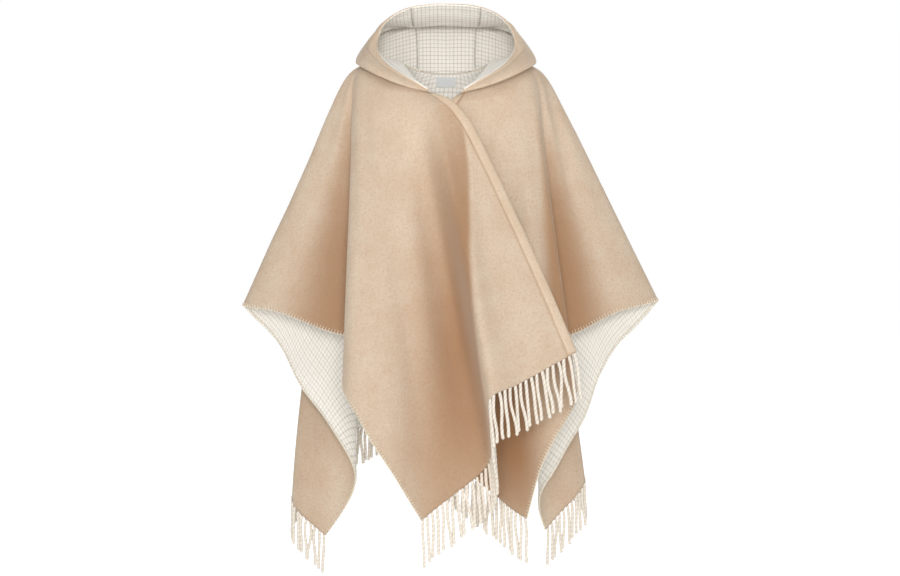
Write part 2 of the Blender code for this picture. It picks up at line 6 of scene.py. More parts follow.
import bmesh
import bpy
import numpy as np
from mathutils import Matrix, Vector


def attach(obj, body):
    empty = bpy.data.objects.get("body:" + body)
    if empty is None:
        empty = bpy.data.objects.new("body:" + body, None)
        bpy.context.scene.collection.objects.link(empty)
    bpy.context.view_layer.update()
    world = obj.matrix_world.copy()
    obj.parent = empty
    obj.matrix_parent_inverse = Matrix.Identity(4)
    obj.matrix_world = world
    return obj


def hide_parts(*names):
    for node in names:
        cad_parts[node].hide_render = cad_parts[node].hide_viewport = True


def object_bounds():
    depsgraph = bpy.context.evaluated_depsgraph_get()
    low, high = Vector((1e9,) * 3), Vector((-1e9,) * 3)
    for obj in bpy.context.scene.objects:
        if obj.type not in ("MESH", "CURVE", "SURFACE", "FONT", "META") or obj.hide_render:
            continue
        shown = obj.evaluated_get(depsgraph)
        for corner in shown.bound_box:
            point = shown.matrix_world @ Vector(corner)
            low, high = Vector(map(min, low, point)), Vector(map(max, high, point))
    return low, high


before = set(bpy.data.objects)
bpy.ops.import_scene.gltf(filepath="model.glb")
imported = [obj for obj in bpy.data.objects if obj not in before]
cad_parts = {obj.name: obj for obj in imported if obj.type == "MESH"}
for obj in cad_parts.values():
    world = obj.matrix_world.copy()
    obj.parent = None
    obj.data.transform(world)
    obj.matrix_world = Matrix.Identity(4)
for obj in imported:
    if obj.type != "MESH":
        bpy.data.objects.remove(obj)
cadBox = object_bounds()
print("frame loaded")


def linear(hexColour):
    # linear values of an sRGB hex colour
    parts = [int(hexColour[i:i + 2], 16) / 255 for i in (1, 3, 5)]
    return (*[p / 12.92 if p <= 0.04045 else ((p + 0.055) / 1.055) ** 2.4 for p in parts], 1.0)


def addNode(tree, kind, inputs=None, **settings):
    # inputs: socket name or number to a plain value or to the output socket that feeds it
    node = tree.nodes.new("ShaderNode" + kind)
    for name, value in settings.items():
        setattr(node, name, value)
    for name, value in (inputs or {}).items():
        if isinstance(value, bpy.types.NodeSocket):
            tree.links.new(value, node.inputs[name])
        else:
            node.inputs[name].default_value = value
    return node


def mixColours(tree, share, first, second):
    colours = [linear(colour) if isinstance(colour, str) else colour for colour in (first, second)]
    return addNode(tree, "Mix", {0: share, 6: colours[0], 7: colours[1]}, data_type="RGBA").outputs[2]


def mapRange(tree, value, start, end, low, high, smooth=False):
    kind = "SMOOTHSTEP" if smooth else "LINEAR"
    inputs = {0: value, 1: start, 2: end, 3: low, 4: high}
    return addNode(tree, "MapRange", inputs, interpolation_type=kind).outputs[0]


def doMath(tree, operation, first, second):
    return addNode(tree, "Math", {0: first, 1: second}, operation=operation).outputs[0]


def addNoise(tree, place, scale, detail, roughness=0.5):
    return addNode(tree, "TexNoise", {"Vector": place, "Scale": scale, "Detail": detail, "Roughness": roughness})


def startMaterial(name):
    material = bpy.data.materials.new(name)
    material.use_nodes = True
    return material, material.node_tree


def finishMaterial(tree, colour, height, strength, depth, values):
    # colour and bump go in by links, plain values are set on their sockets
    shader = tree.nodes["Principled BSDF"]
    bump = addNode(tree, "Bump", {"Strength": strength, "Distance": depth, "Height": height})
    tree.links.new(colour, shader.inputs["Base Color"])
    tree.links.new(bump.outputs[0], shader.inputs["Normal"])
    for socket, value in values.items():
        shader.inputs[socket].default_value = value


def smoothCurve(knots, values):
    # natural cubic spline through the values
    knots, values = np.asarray(knots, float), np.asarray(values, float)
    count, gaps = len(knots), np.diff(knots)
    slopes = np.diff(values, axis=0) / gaps[:, None]
    matrix, right = np.eye(count), np.zeros_like(values)
    for i in range(1, count - 1):
        matrix[i, i - 1:i + 2] = gaps[i - 1], 2 * (gaps[i - 1] + gaps[i]), gaps[i]
        right[i] = 6 * (slopes[i] - slopes[i - 1])
    bends = np.linalg.solve(matrix, right)

    def curve(at):
        i = np.clip(np.searchsorted(knots, at, side="right") - 1, 0, count - 2)
        gap = gaps[i][..., None]
        before = (at - knots[i])[..., None]
        after = gap - before
        cubic = (bends[i] * after**3 + bends[i + 1] * before**3) / (6 * gap)
        fromStart = (values[i] / gap - bends[i] * gap / 6) * after
        toEnd = (values[i + 1] / gap - bends[i + 1] * gap / 6) * before
        return cubic + fromStart + toEnd

    return curve


def steadyCurve(knots, values):
    # a curve that never overshoots its values
    gaps = np.diff(knots)
    slopes = np.diff(values) / gaps
    tangents = np.zeros(len(knots))
    tangents[0], tangents[-1] = slopes[0], slopes[-1]
    for i in range(1, len(knots) - 1):
        if slopes[i - 1] * slopes[i] > 0:
            first, second = 2 * gaps[i] + gaps[i - 1], gaps[i] + 2 * gaps[i - 1]
            tangents[i] = (first + second) / (first / slopes[i - 1] + second / slopes[i])

    def curve(at):
        i = np.clip(np.searchsorted(knots, at, side="right") - 1, 0, len(knots) - 2)
        t = (at - knots[i]) / gaps[i]
        start = (1 + 2 * t) * (1 - t)**2 * values[i] + t * (1 - t)**2 * gaps[i] * tangents[i]
        end = t**2 * (3 - 2 * t) * values[i + 1] - t**2 * (1 - t) * gaps[i] * tangents[i + 1]
        return start + end

    return curve


def fadeOut(value, low, high):
    t = np.clip((value - low) / (high - low), 0, 1)
    return 1 - t * t * (3 - 2 * t)


def bell(distance, width):
    return np.exp(-(distance / width)**2)


def size(vectors):
    return np.linalg.norm(vectors, axis=-1, keepdims=True)


def walkedAlong(points):
    return np.concatenate([[0.0], np.cumsum(size(np.diff(points, axis=0))[:, 0])])


def meshFrom(name, bm):
    mesh = bpy.data.meshes.new(name)
    bm.to_mesh(mesh)
    bm.free()
    return mesh


def placeObject(name, data):
    made = bpy.data.objects.new(name, data)
    bpy.context.scene.collection.objects.link(made)
    return made


# the blanket's draped form, on the same folds as the solids
cloak = {
    "cloth": 0.0030,            # thickness of the wool
    "middleX": -0.008,
    "neck": (0.090, 0.090, -0.010, 0.024, -0.054, 0.010),     # half width, half depth, middle y, side, throat, nape
    "yoke": (0.190, 0.120, -0.005, 0.024, -0.085, -0.065),    # the same where the cloth turns down
    "neckFrontTurn": 14,
    "shoulderRound": 0.020,
    "lapPush": 0.016,
    "lapPushFades": (25, 75),
    "lapLift": (0.0, -0.0036, 0.0048),
    "lapLiftFades": (15, 60),
    "footZ": -0.960,
    "flatHalf": (0.73, 0.66),   # half the blanket's width and length before it was hung
    "flatNeck": (0.10, 0.12),
    "creaseFades": (0.35, 0.65),    # shares of a soft crease where it is full and starts to fade
    "seamShare": 0.15,              # thickness left where a seam pulls the wool in
}

# fold name, turn round the neck from the throat, hem x, hem y, hem z, and bow x, bow y if it has one
folds = [
    ("overEdge", -11, 0.236, -0.235, -0.546, 0.018, -0.01),
    ("overFaceOut", -5, 0.177, -0.255, -0.577, 0.008, -0.012),
    ("overFaceIn", 1, 0.12, -0.275, -0.607, 0, -0.016),
    ("lapRidge", 7, 0.072, -0.285, -0.632, 0.002, -0.024),
    ("lapWall", 13, 0.078, -0.243, -0.694, 0, 0.006),
    ("lapValley", 19, 0.072, -0.196, -0.758, -0.006, 0.03),
    ("overPan", 30, 0.015, -0.212, -0.81, -0.004, 0.01),
    ("overCorner", 42, -0.052, -0.235, -0.862, 0, -0.004),
    ("overSideLow", 49, -0.099, -0.25, -0.783, 0, -0.006),
    ("overSideMid", 56, -0.145, -0.25, -0.713, 0, -0.006),
    ("overSideHigh", 63, -0.179, -0.235, -0.656, 0, -0.008),
    ("overRidge", 70, -0.204, -0.195, -0.611, -0.002, -0.01),
    ("overWall", 75, -0.194, -0.15, -0.568),
    ("overValley", 79, -0.181, -0.096, -0.529, 0.006, 0.014),
    ("overArmIn", 83, -0.225, -0.082, -0.514),
    ("overArmMid", 86, -0.295, -0.066, -0.489),
    ("overArmOut", 88, -0.365, -0.042, -0.468),
    ("rightTip", 90, -0.414, -0.004, -0.46),
    ("rightLining1", 93, -0.386, 0.028, -0.492),
    ("rightLining2", 96, -0.34, 0.038, -0.547),
    ("rightLining3", 99, -0.298, 0.036, -0.629),
    ("rightLining4", 103, -0.25, 0.034, -0.692),
    ("rightLining5", 106, -0.21, 0.038, -0.757),
    ("rightValley", 109, -0.193, 0.055, -0.812),
    ("rightSideLow", 112, -0.214, 0.075, -0.872),
    ("rightBackCorner", 115, -0.256, 0.09, -0.934),
    ("rightFlap", 119, -0.292, 0.1, -0.905, -0.02, 0),
    ("rightRidge", 123, -0.327, 0.12, -0.864, -0.034, 0),
    ("rightTurn", 127, -0.312, 0.15, -0.822, -0.026, 0),
    ("rightBack1", 133, -0.262, 0.175, -0.77),
    ("rightBack2", 140, -0.196, 0.19, -0.722, 0, 0.004),
    ("backRidge1", 148, -0.14, 0.238, -0.703, 0, 0.006),
    ("backValley1", 158, -0.088, 0.196, -0.688),
    ("backRidge2", 168, -0.034, 0.242, -0.68, 0, 0.006),
    ("backValley2", 180, 0.016, 0.204, -0.676),
    ("backRidge3", 191, 0.066, 0.24, -0.681, 0, 0.006),
    ("backValley3", 202, 0.116, 0.198, -0.695),
    ("leftBack2", 213, 0.17, 0.206, -0.722, 0, 0.004),
    ("leftBack1", 222, 0.231, 0.178, -0.766),
    ("leftTurn", 230, 0.27, 0.15, -0.805),
    ("leftRidge", 235, 0.279, 0.12, -0.827, 0.01, 0),
    ("leftFlap", 239, 0.243, 0.102, -0.872),
    ("leftBackCorner", 243, 0.197, 0.09, -0.922),
    ("leftSideLow", 246, 0.184, 0.072, -0.88),
    ("leftValley", 248, 0.185, 0.052, -0.845),
    ("leftLining5", 251, 0.208, 0.036, -0.8),
    ("leftLining4", 254, 0.236, 0.033, -0.748),
    ("leftLining3", 258, 0.27, 0.034, -0.69),
    ("leftLining2", 262, 0.3, 0.037, -0.607),
    ("leftLining1", 266, 0.35, 0.03, -0.527),
    ("leftTip", 270, 0.416, -0.004, -0.45),
    ("underArmOut", 273, 0.361, -0.042, -0.464),
    ("underArmMid", 277, 0.296, -0.062, -0.489),
    ("underArmIn", 282, 0.251, -0.074, -0.512),
    ("underValley", 287, 0.219, -0.08, -0.531, -0.006, 0.014),
    ("underWall", 292, 0.231, -0.13, -0.573),
    ("underRidge", 298, 0.242, -0.17, -0.621, 0, -0.014),
    ("underSideHigh", 305, 0.23, -0.185, -0.659),
    ("underSideMid", 312, 0.202, -0.195, -0.704),
    ("underSideLow", 319, 0.17, -0.19, -0.771),
    ("underCorner", 326, 0.145, -0.175, -0.866),
    ("underHemOut", 333, 0.115, -0.15, -0.848),
    ("underValleyIn", 340, 0.086, -0.116, -0.826, 0, 0.016),
    ("underFaceOut", 349, 0.038, -0.108, -0.79, 0, 0.016),
    ("underFaceIn", 357, -0.019, -0.104, -0.74, 0, 0.012),
    ("underEdge", 366, -0.076, -0.108, -0.695, 0, 0.006),
]

# soft creases: fold, shares of the drop where it starts and ends, drift across, half width and height (a trough
# below 0)
creases = [
    ("overPan", 0.22, 0.8, 0.02, 0.022, 0.003),
    ("overCorner", 0.35, 0.98, -0.03, 0.018, -0.0026),
    ("overSideMid", 0.1, 0.55, 0, 0.02, -0.0028),
    ("overSideHigh", 0.45, 0.97, 0.02, 0.018, 0.0026),
    ("overRidge", 0.15, 0.7, -0.05, 0.014, -0.0022),
    ("overWall", 0.2, 0.62, 0.03, 0.015, 0.0024),
    ("overArmIn", 0.4, 0.9, 0.03, 0.016, -0.0026),
    ("overArmMid", 0.15, 0.6, -0.02, 0.018, 0.0024),
    ("rightTip", 0.35, 0.8, -0.04, 0.018, -0.0022),
    ("rightLining3", 0.4, 0.95, 0.03, 0.016, 0.0024),
    ("rightFlap", 0.45, 0.97, 0.02, 0.015, -0.0026),
    ("rightBack1", 0.2, 0.9, -0.03, 0.02, 0.003),
    ("backRidge1", 0.1, 0.55, 0.03, 0.015, -0.0024),
    ("backValley1", 0.4, 0.97, -0.02, 0.018, 0.0026),
    ("backRidge2", 0.12, 0.7, 0.03, 0.014, -0.0028),
    ("backRidge3", 0.35, 0.95, -0.02, 0.016, -0.0026),
    ("backValley3", 0.15, 0.6, 0.02, 0.02, 0.0026),
    ("leftBack1", 0.25, 0.95, 0.03, 0.018, -0.003),
    ("leftRidge", 0.4, 0.9, -0.02, 0.015, 0.0022),
    ("leftLining3", 0.45, 0.95, -0.02, 0.015, -0.0022),
    ("underArmOut", 0.3, 0.75, 0.03, 0.018, 0.0026),
    ("underArmMid", 0.2, 0.85, -0.02, 0.018, -0.0028),
    ("underSideMid", 0.2, 0.8, 0.01, 0.026, 0.003),
    ("underSideLow", 0.45, 0.95, 0.02, 0.016, 0.0024),
    ("underHemOut", 0.5, 0.97, -0.01, 0.014, -0.002),
]

# the deep folds: depth of the trough (ahead below 0) and strength of the painted shade in it, then down the fold the
# height, the places across of the sharp ridge, the deepest line and the far side, and the share of the depth
deepFolds = [
    (0.012, 0.88, [(-0.05, 0.03, 0.09, 0.28, 0.2), (-0.08, 0.04, 0.11, 0.36, 0.45), (-0.15, 0.095, 0.165, 0.43, 0.7),
        (-0.25, 0.16, 0.235, 0.49, 0.92), (-0.35, 0.21, 0.29, 0.52, 1), (-0.45, 0.24, 0.345, 0.545, 1),
        (-0.55, 0.265, 0.39, 0.57, 1), (-0.65, 0.295, 0.425, 0.6, 0.92), (-0.75, 0.335, 0.455, 0.61, 0.8),
        (-0.86, 0.37, 0.48, 0.6, 0.55)]),
    (0.01, 0.82, [(-0.05, 0.735, 0.86, 0.91, 0.05), (-0.08, 0.738, 0.88, 0.96, 0.28), (-0.15, 0.738, 0.9, 1.04, 0.52),
        (-0.25, 0.735, 0.92, 1.12, 0.78), (-0.35, 0.725, 0.94, 1.18, 0.95), (-0.55, 0.715, 0.945, 1.25, 1)]),
    (0.01, 0.86, [(-0.06, 3.955, 3.9, 3.83, 0), (-0.1, 3.97, 3.885, 3.77, 0.16), (-0.15, 3.98, 3.865, 3.71, 0.45),
        (-0.25, 4, 3.835, 3.65, 0.9), (-0.35, 4.02, 3.815, 3.62, 1), (-0.52, 4.05, 3.795, 3.6, 1),
        (-0.6, 4.04, 3.83, 3.68, 0.6), (-0.7, 4, 3.88, 3.74, 0.15)]),
    (0.006, 1, [(-0.53, 4.33, 4.15, 3.98, 0), (-0.59, 4.32, 4.14, 3.98, 0.9), (-0.68, 4.3, 4.12, 4, 1),
        (-0.75, 4.28, 4.12, 4.02, 1), (-0.81, 4.26, 4.12, 4.03, 0.8), (-0.87, 4.24, 4.12, 4.06, 0.5)]),
    (-0.008, 0.55, [(-0.1, 2.19, 2.24, 2.3, 0), (-0.3, 2.19, 2.255, 2.325, 0.6), (-0.72, 2.19, 2.27, 2.35, 1)]),
    (-0.007, 0.5, [(-0.12, 2.36, 2.4, 2.45, 0), (-0.35, 2.365, 2.42, 2.48, 0.5), (-0.72, 2.36, 2.43, 2.5, 1)]),
    (-0.008, 0.55, [(-0.1, 2.64, 2.6, 2.55, 0), (-0.3, 2.635, 2.59, 2.53, 0.7), (-0.72, 2.65, 2.585, 2.51, 1)]),
    (0, 0.35, [(-0.45, 1.94, 1.9, 1.85, 0), (-0.65, 1.94, 1.89, 1.83, 0.8), (-0.9, 1.93, 1.88, 1.84, 0.5)]),
    (0, 0.3, [(-0.45, 2.8, 2.85, 2.9, 0), (-0.65, 2.8, 2.855, 2.915, 0.8), (-0.9, 2.82, 2.87, 2.91, 0.5)]),
]

# across a deep fold, from 0 at its sharp ridge to 1 at its deepest line: the trough, the ridge's rise as a share of
# the depth, its place and width, and the painted shade, with where it fades on the far side
foldForm = {"trough": (-0.1, 1), "ridge": 0.22, "ridgeAt": -0.15, "ridgeWidth": 0.22, "tone": (-0.02, 0.24),
            "farTone": (-0.15, 1)}


def ringPoint(turn, ring):
    halfWidth, halfDepth, middleY, sideZ, frontZ, backZ = ring
    angle = np.radians(turn)
    sine, cosine = np.sin(angle), np.cos(angle)
    dip = np.where(cosine > 0, frontZ - sideZ, backZ - sideZ) * cosine**2
    return np.stack([cloak["middleX"] - halfWidth * sine, middleY - halfDepth * cosine, sideZ + dip], axis=-1)


def neckPoint(turn):
    return ringPoint(turn, cloak["neck"])


def yokePoint(turn):
    halfWidth, halfDepth, *rest = cloak["yoke"]
    return ringPoint(turn, (halfWidth, halfDepth + cloak["lapPush"] * fadeOut(turn, *cloak["lapPushFades"]), *rest))


class Blanket:
    # across runs from the over edge round the back to the under edge, along is the way down from the neck
    outward = 1

    def __init__(self):
        table = np.array([(*row[1:], 0, 0)[:6] for row in folds], float)
        turns, hems = table[:, 0], table[:, 1:4]
        bows = np.hstack([table[:, 4:], np.zeros((len(table), 1))])
        yokes = yokePoint(turns)
        share = ((yokes[:, 2] - hems[:, 2]) / (yokes[:, 2] - cloak["footZ"]))[:, None]
        feet = yokes + (hems - bows * 4 * share * (1 - share) - yokes) / share
        self.knots = walkedAlong(feet[:, :2])
        self.at = {row[0]: knot for row, knot in zip(folds, self.knots)}
        self.turn = steadyCurve(self.knots, turns)
        self.foot = smoothCurve(self.knots, feet)
        self.bow = smoothCurve(self.knots, bows)
        corners = ["overCorner", "rightBackCorner", "leftBackCorner", "underCorner"]
        self.ends = [self.knots[0], *(self.at[corner] for corner in corners), self.knots[-1]]
        self.hemCurves = []
        for low, high in zip(self.ends, self.ends[1:]):
            inside = (self.knots >= low) & (self.knots <= high)
            self.hemCurves.append((high, steadyCurve(self.knots[inside], hems[inside, 2])))
        self.creases = [(self.at[name], *rest) for name, *rest in creases]

    def hemZ(self, across):
        height = self.hemCurves[-1][1](across)
        for high, curve in reversed(self.hemCurves[:-1]):
            height = np.where(across <= high, curve(across), height)
        return height

    def legs(self, across):
        turn = self.turn(across)
        front = cloak["neckFrontTurn"]
        inner = np.interp(turn, [folds[0][1], 90, 270, folds[-1][1]], [front, 90, 270, 360 - front])
        return neckPoint(inner), yokePoint(turn), self.foot(across)

    def hemDrop(self, across):
        neck, yoke, foot = self.legs(across)
        share = (yoke[..., 2] - self.hemZ(across)) / (yoke[..., 2] - cloak["footZ"])
        return size(yoke - neck)[..., 0] + size(foot - yoke)[..., 0] * share

    def hung(self, across, along):
        neck, yoke, foot = self.legs(across)
        over, down = size(yoke - neck), size(foot - yoke)
        along = along[..., None]
        rounding = cloak["shoulderRound"]
        fall = rounding * np.logaddexp(0, (along - over) / rounding)
        crossed, fallen = (along - fall) / over, fall / down
        bow = self.bow(across) * 4 * fallen * (1 - fallen)
        lapped = fadeOut(self.turn(across), *cloak["lapLiftFades"])[..., None]
        lift = np.array(cloak["lapLift"]) * lapped * 4 * crossed * (1 - crossed)
        return neck + (yoke - neck) * crossed + (foot - yoke) * fallen + bow + lift

    def folded(self, across, z):
        # how far the deep folds go back from the hung form, and the share of painted shade in them, 0 to 1
        back, clear = np.zeros(np.shape(across)), np.ones(np.shape(across))
        for depth, tone, rows in deepFolds:
            table = np.array(rows)[::-1]
            sharp, core, far, share = (np.interp(z, table[:, 0], column) for column in table[:, 1:].T)
            inwards, outwards = (across - sharp) / (core - sharp), (across - core) / (far - core)
            back += depth * share * (1 - fadeOut(inwards, *foldForm["trough"])) * fadeOut(outwards, 0, 1)
            back -= foldForm["ridge"] * depth * share * bell(inwards - foldForm["ridgeAt"], foldForm["ridgeWidth"])
            dark = (1 - fadeOut(inwards, *foldForm["tone"])) * fadeOut(outwards, *foldForm["farTone"])
            clear *= 1 - tone * share * dark
        return back, 1 - clear

    def point(self, across, along):
        place = self.hung(across, along)
        place[..., 1] += self.folded(across, place[..., 2])[0]
        return place

    def creased(self, across, along):
        # height of the soft creases over the folded form
        share = along / self.hemDrop(across)
        spread = size(self.point(across + 1e-3, along) - self.point(across - 1e-3, along))[..., 0] / 2e-3
        full, fading = cloak["creaseFades"]
        height = np.zeros(np.shape(across))
        for middle, top, bottom, drift, width, rise in self.creases:
            way = np.clip((share - top) / (bottom - top), 0, 1)
            aside = (across - middle - drift * way) * spread
            height += rise * bell(aside, width) * (1 - fadeOut(way, 0, full)) * fadeOut(way, fading, 1)
        return height

    def flat(self, across, along):
        # where a point lay on the flat blanket, in metres: the hem follows the rectangle's edges
        halfX, halfY = cloak["flatHalf"]
        rightTip, leftTip = self.at["rightTip"], self.at["leftTip"]
        stops = [*self.ends[:2], rightTip, *self.ends[2:4], leftTip, *self.ends[4:]]
        hemX = np.interp(across, stops, [0, -halfX, -halfX, -halfX, halfX, halfX, halfX, 0])
        hemY = np.interp(across, stops, [-halfY, -halfY, 0, halfY, halfY, 0, -halfY, -halfY])
        angle = np.radians(self.turn(across))
        share = along / self.hemDrop(across)
        neckX, neckY = -cloak["flatNeck"][0] * np.sin(angle), -cloak["flatNeck"][1] * np.cos(angle)
        return np.stack([neckX + (hemX - neckX) * share, neckY + (hemY - neckY) * share], axis=-1)


# the hood's right half: turn, then points at low, back, hump, crease and rim
hoodSections = [
    (17, (-0.028, -0.104, -0.047), (-0.031, -0.11, -0.046), (-0.033, -0.114, -0.044),
     (-0.034, -0.1165, -0.042), (-0.0345, -0.1185, -0.039)),
    (38, (-0.076, -0.099, -0.031), (-0.094, -0.113, -0.03), (-0.098, -0.11, -0.018),
     (-0.096, -0.101, -0.009), (-0.088, -0.091, -0.006)),
    (62, (-0.118, -0.066, 0.009), (-0.151, -0.074, -0.002), (-0.156, -0.07, 0.018),
     (-0.147, -0.06, 0.031), (-0.129, -0.05, 0.034)),
    (88, (-0.148, -0.018, 0.029), (-0.18, -0.014, 0.021), (-0.174, -0.006, 0.045),
     (-0.153, -0.008, 0.067), (-0.136, -0.02, 0.071)),
    (113, (-0.142, 0.056, 0.022), (-0.166, 0.072, 0.036), (-0.146, 0.06, 0.084),
     (-0.136, 0.036, 0.1), (-0.122, 0, 0.105)),
    (143, (-0.07, 0.135, 0.006), (-0.072, 0.146, 0.062), (-0.074, 0.116, 0.12),
     (-0.076, 0.074, 0.1125), (-0.078, 0.008, 0.1345)),
    (180, (0, 0.152, 0.006), (0, 0.16, 0.066), (0, 0.124, 0.127),
     (0, 0.08, 0.117), (0, 0.01, 0.1435)),
]
hoodForm = {"reach": [0.0, 0.20, 0.42, 0.64, 0.79, 1.0], "lift": 0.0003, "gusset": (147, 213), "ends": (17, 343)}


class Hood:
    # across is the turn round the neck, along runs from the neckline at 0 to the rim at 1
    outward = -1

    def __init__(self):
        half = np.array([[row[0], *[c for p in row[1:] for c in p]] for row in hoodSections], float)
        other = half[-2::-1].copy()
        other[:, 0] = 360 - other[:, 0]
        other[:, 1::3] *= -1
        table = np.concatenate([half, other])
        table[:, 1::3] += cloak["middleX"]
        self.points = smoothCurve(table[:, 0], table[:, 1:])
        self.shares = smoothCurve(hoodForm["reach"], np.eye(len(hoodForm["reach"])))

    def point(self, across, along):
        shares = self.shares(along)
        above = self.points(across).reshape(*np.shape(across), -1, 3)
        start = neckPoint(across) + np.array([0, 0, hoodForm["lift"]])
        return shares[..., :1] * start + np.einsum("...k,...kc->...c", shares[..., 1:], above)

    def rimRate(self, turns):
        # metres of depth for each unit of along, at the rim
        rim = np.ones(len(turns))
        return size(self.point(turns, rim) - self.point(turns, rim - 1e-3))[:, 0] / 1e-3


blanket = Blanket()
hood = Hood()


def outOf(surface, across, along):
    # unit vectors out of the camel face
    small = 1e-4
    sideways = surface.point(across + small, along) - surface.point(across - small, along)
    down = surface.point(across, along + small) - surface.point(across, along - small)
    out = np.cross(sideways, down) * surface.outward
    return out / size(out)


def raised(surface, across, along, height):
    # points at a height over the camel face, in metres
    return surface.point(across, along) + outOf(surface, across, along) * height[:, None]


def beside(surface, edge, inward, along, width):
    # places a set width in from an edge
    atEdge = np.full(np.shape(along), float(edge))
    step = surface.point(atEdge + inward * 1e-3, along) - surface.point(atEdge, along)
    return atEdge + inward * width / (size(step)[..., 0] / 1e-3)


def stretchedGrid(name, columns, rings, place, flipped=False):
    # a flat grid whose vertices go where place(column share, ring share) says, with its own UV map in metres
    bm = bmesh.new()
    bm.loops.layers.uv.new("UVMap")
    bmesh.ops.create_grid(bm, x_segments=columns, y_segments=rings, size=0.5, calc_uvs=True)
    if flipped:
        bmesh.ops.reverse_faces(bm, faces=bm.faces)
    mesh = meshFrom(name, bm)
    spots = np.zeros(len(mesh.vertices) * 3)
    mesh.vertices.foreach_get("co", spots)
    spots = spots.reshape(-1, 3) + 0.5
    points, flat = place(spots[:, 0], 1 - spots[:, 1])
    mesh.vertices.foreach_set("co", points.ravel())
    corners = np.zeros(len(mesh.loops), int)
    mesh.loops.foreach_get("vertex_index", corners)
    mesh.uv_layers.active.data.foreach_set("uv", flat[corners].ravel())
    mesh.update()
    return mesh


def addPiece(name, mesh, slot, *materials, replaces=()):
    mesh.shade_smooth()
    piece = placeObject(name, mesh)
    for material in materials:
        mesh.materials.append(material)
    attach(piece, "root")
    if replaces:
        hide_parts(*replaces)
    return piece


def giveTone(mesh, name, tone):
    # shares that the materials mix in: painted shade in folds, grooves and seams on the camel face and edges, the cream
    # face turned out on the hood's turned edge, and painted shade at seams and under the crown fold on the lining
    mesh.attributes.new(name, "FLOAT", "POINT").data.foreach_set("value", np.asarray(tone, np.float32))


def giveWall(piece, thickness, **settings):
    wall = piece.modifiers.new("wall", "SOLIDIFY")
    for name, value in {"thickness": thickness, "offset": -1, "use_even_offset": False, **settings}.items():
        setattr(wall, name, value)


twoFaced = {"material_offset": 1, "material_offset_rim": 2}    # the inner face's and the edge's materials


def yarnAlong(bm, path, radii, sides, turns, lobes=0.10):
    # a tapered two-ply yarn swept along a path; turns are twists for each metre
    path, radii = np.asarray(path, float), np.asarray(radii, float)
    rings = len(path) - 1
    made = bmesh.ops.create_grid(bm, x_segments=sides, y_segments=rings, size=0.5, calc_uvs=False)["verts"]
    tangents = np.gradient(path, axis=0)
    tangents /= size(tangents)
    across = np.cross(tangents, [0.31, 0.9, 0.2])    # a direction that no yarn here runs along
    across /= size(across)
    other = np.cross(tangents, across)
    walked = walkedAlong(path)
    uv = bm.loops.layers.uv.verify()
    spots = {}
    for vert in made:
        ring = int(round((vert.co.y + 0.5) * rings))
        share = vert.co.x + 0.5
        angle = share * 2 * math.pi
        ply = share * 2 - walked[ring] * turns * 2
        radius = radii[ring] * (1 - lobes + lobes * math.cos(ply * 2 * math.pi))
        spots[vert] = (ply, walked[ring])
        vert.co = path[ring] + radius * (across[ring] * math.cos(angle) + other[ring] * math.sin(angle))
    faces = {face for vert in made for face in vert.link_faces}
    for face in faces:
        for loop in face.loops:
            loop[uv].uv = spots[loop.vert]
    bmesh.ops.remove_doubles(bm, verts=made, dist=1e-6)


def closedYarns(name, bm):
    # each yarn's open ends get a face
    bmesh.ops.holes_fill(bm, edges=[edge for edge in bm.edges if edge.is_boundary], sides=0)
    bmesh.ops.recalc_face_normals(bm, faces=bm.faces)
    return meshFrom(name, bm)


# plain, pale and deep colours of each face, then the folded colour: painted shade in folds, grooves and seams, but on
# the hood's edge the cream face turned out; then pattern sizes in metres
wool = {
    "camel": ("#d2bea7", "#e1d3bf", "#c09b7b", "#a47a56"),
    "cream": ("#f7f4ed", "#fcf9f2", "#efeae1", "#7d705f"),
    "cutEdge": ("#e6dccb", "#efe8dc", "#d3c4ab", "#a08a6c"),
    "turnedEdge": ("#d8c2a9", "#e7d7c2", "#c6a583", "#a47a56"),
    "hoodEdge": ("#d8c2a9", "#e7d7c2", "#c6a583", "#fbf7f0"),    # its folded colour is the cream face turned out
    "fibre": 0.0016,            # clumps of brushed fibre, drawn as coarse as they show
    "clumpsPerMetre": 240.0,
    "cloud": 0.055,
    # noise where the share starts and where it is full, and the full share
    "paleShare": (0.46, 0.66, 0.72),
    "deepShare": (0.48, 0.68, 0.46),
    "cloudShare": (0.38, 0.64, 0.24),
    "napDepth": 0.0011,
    "napStrength": 0.55,
    # check lines: colour, width and shift across the repeat
    "checkRepeat": 0.0165,
    "checkLines": [("#beb3a2", 0.0015, 0.00825), ("#b3a795", 0.0020, 0.0)],
    "checkShare": 0.42,
    "checkSoft": (0.25, 0.80),  # share of a line's width where it starts to fade and is gone
    "waversPerMetre": 260.0,
    "waver": 0.0012,
    "sheen": "#fff4e4",
}


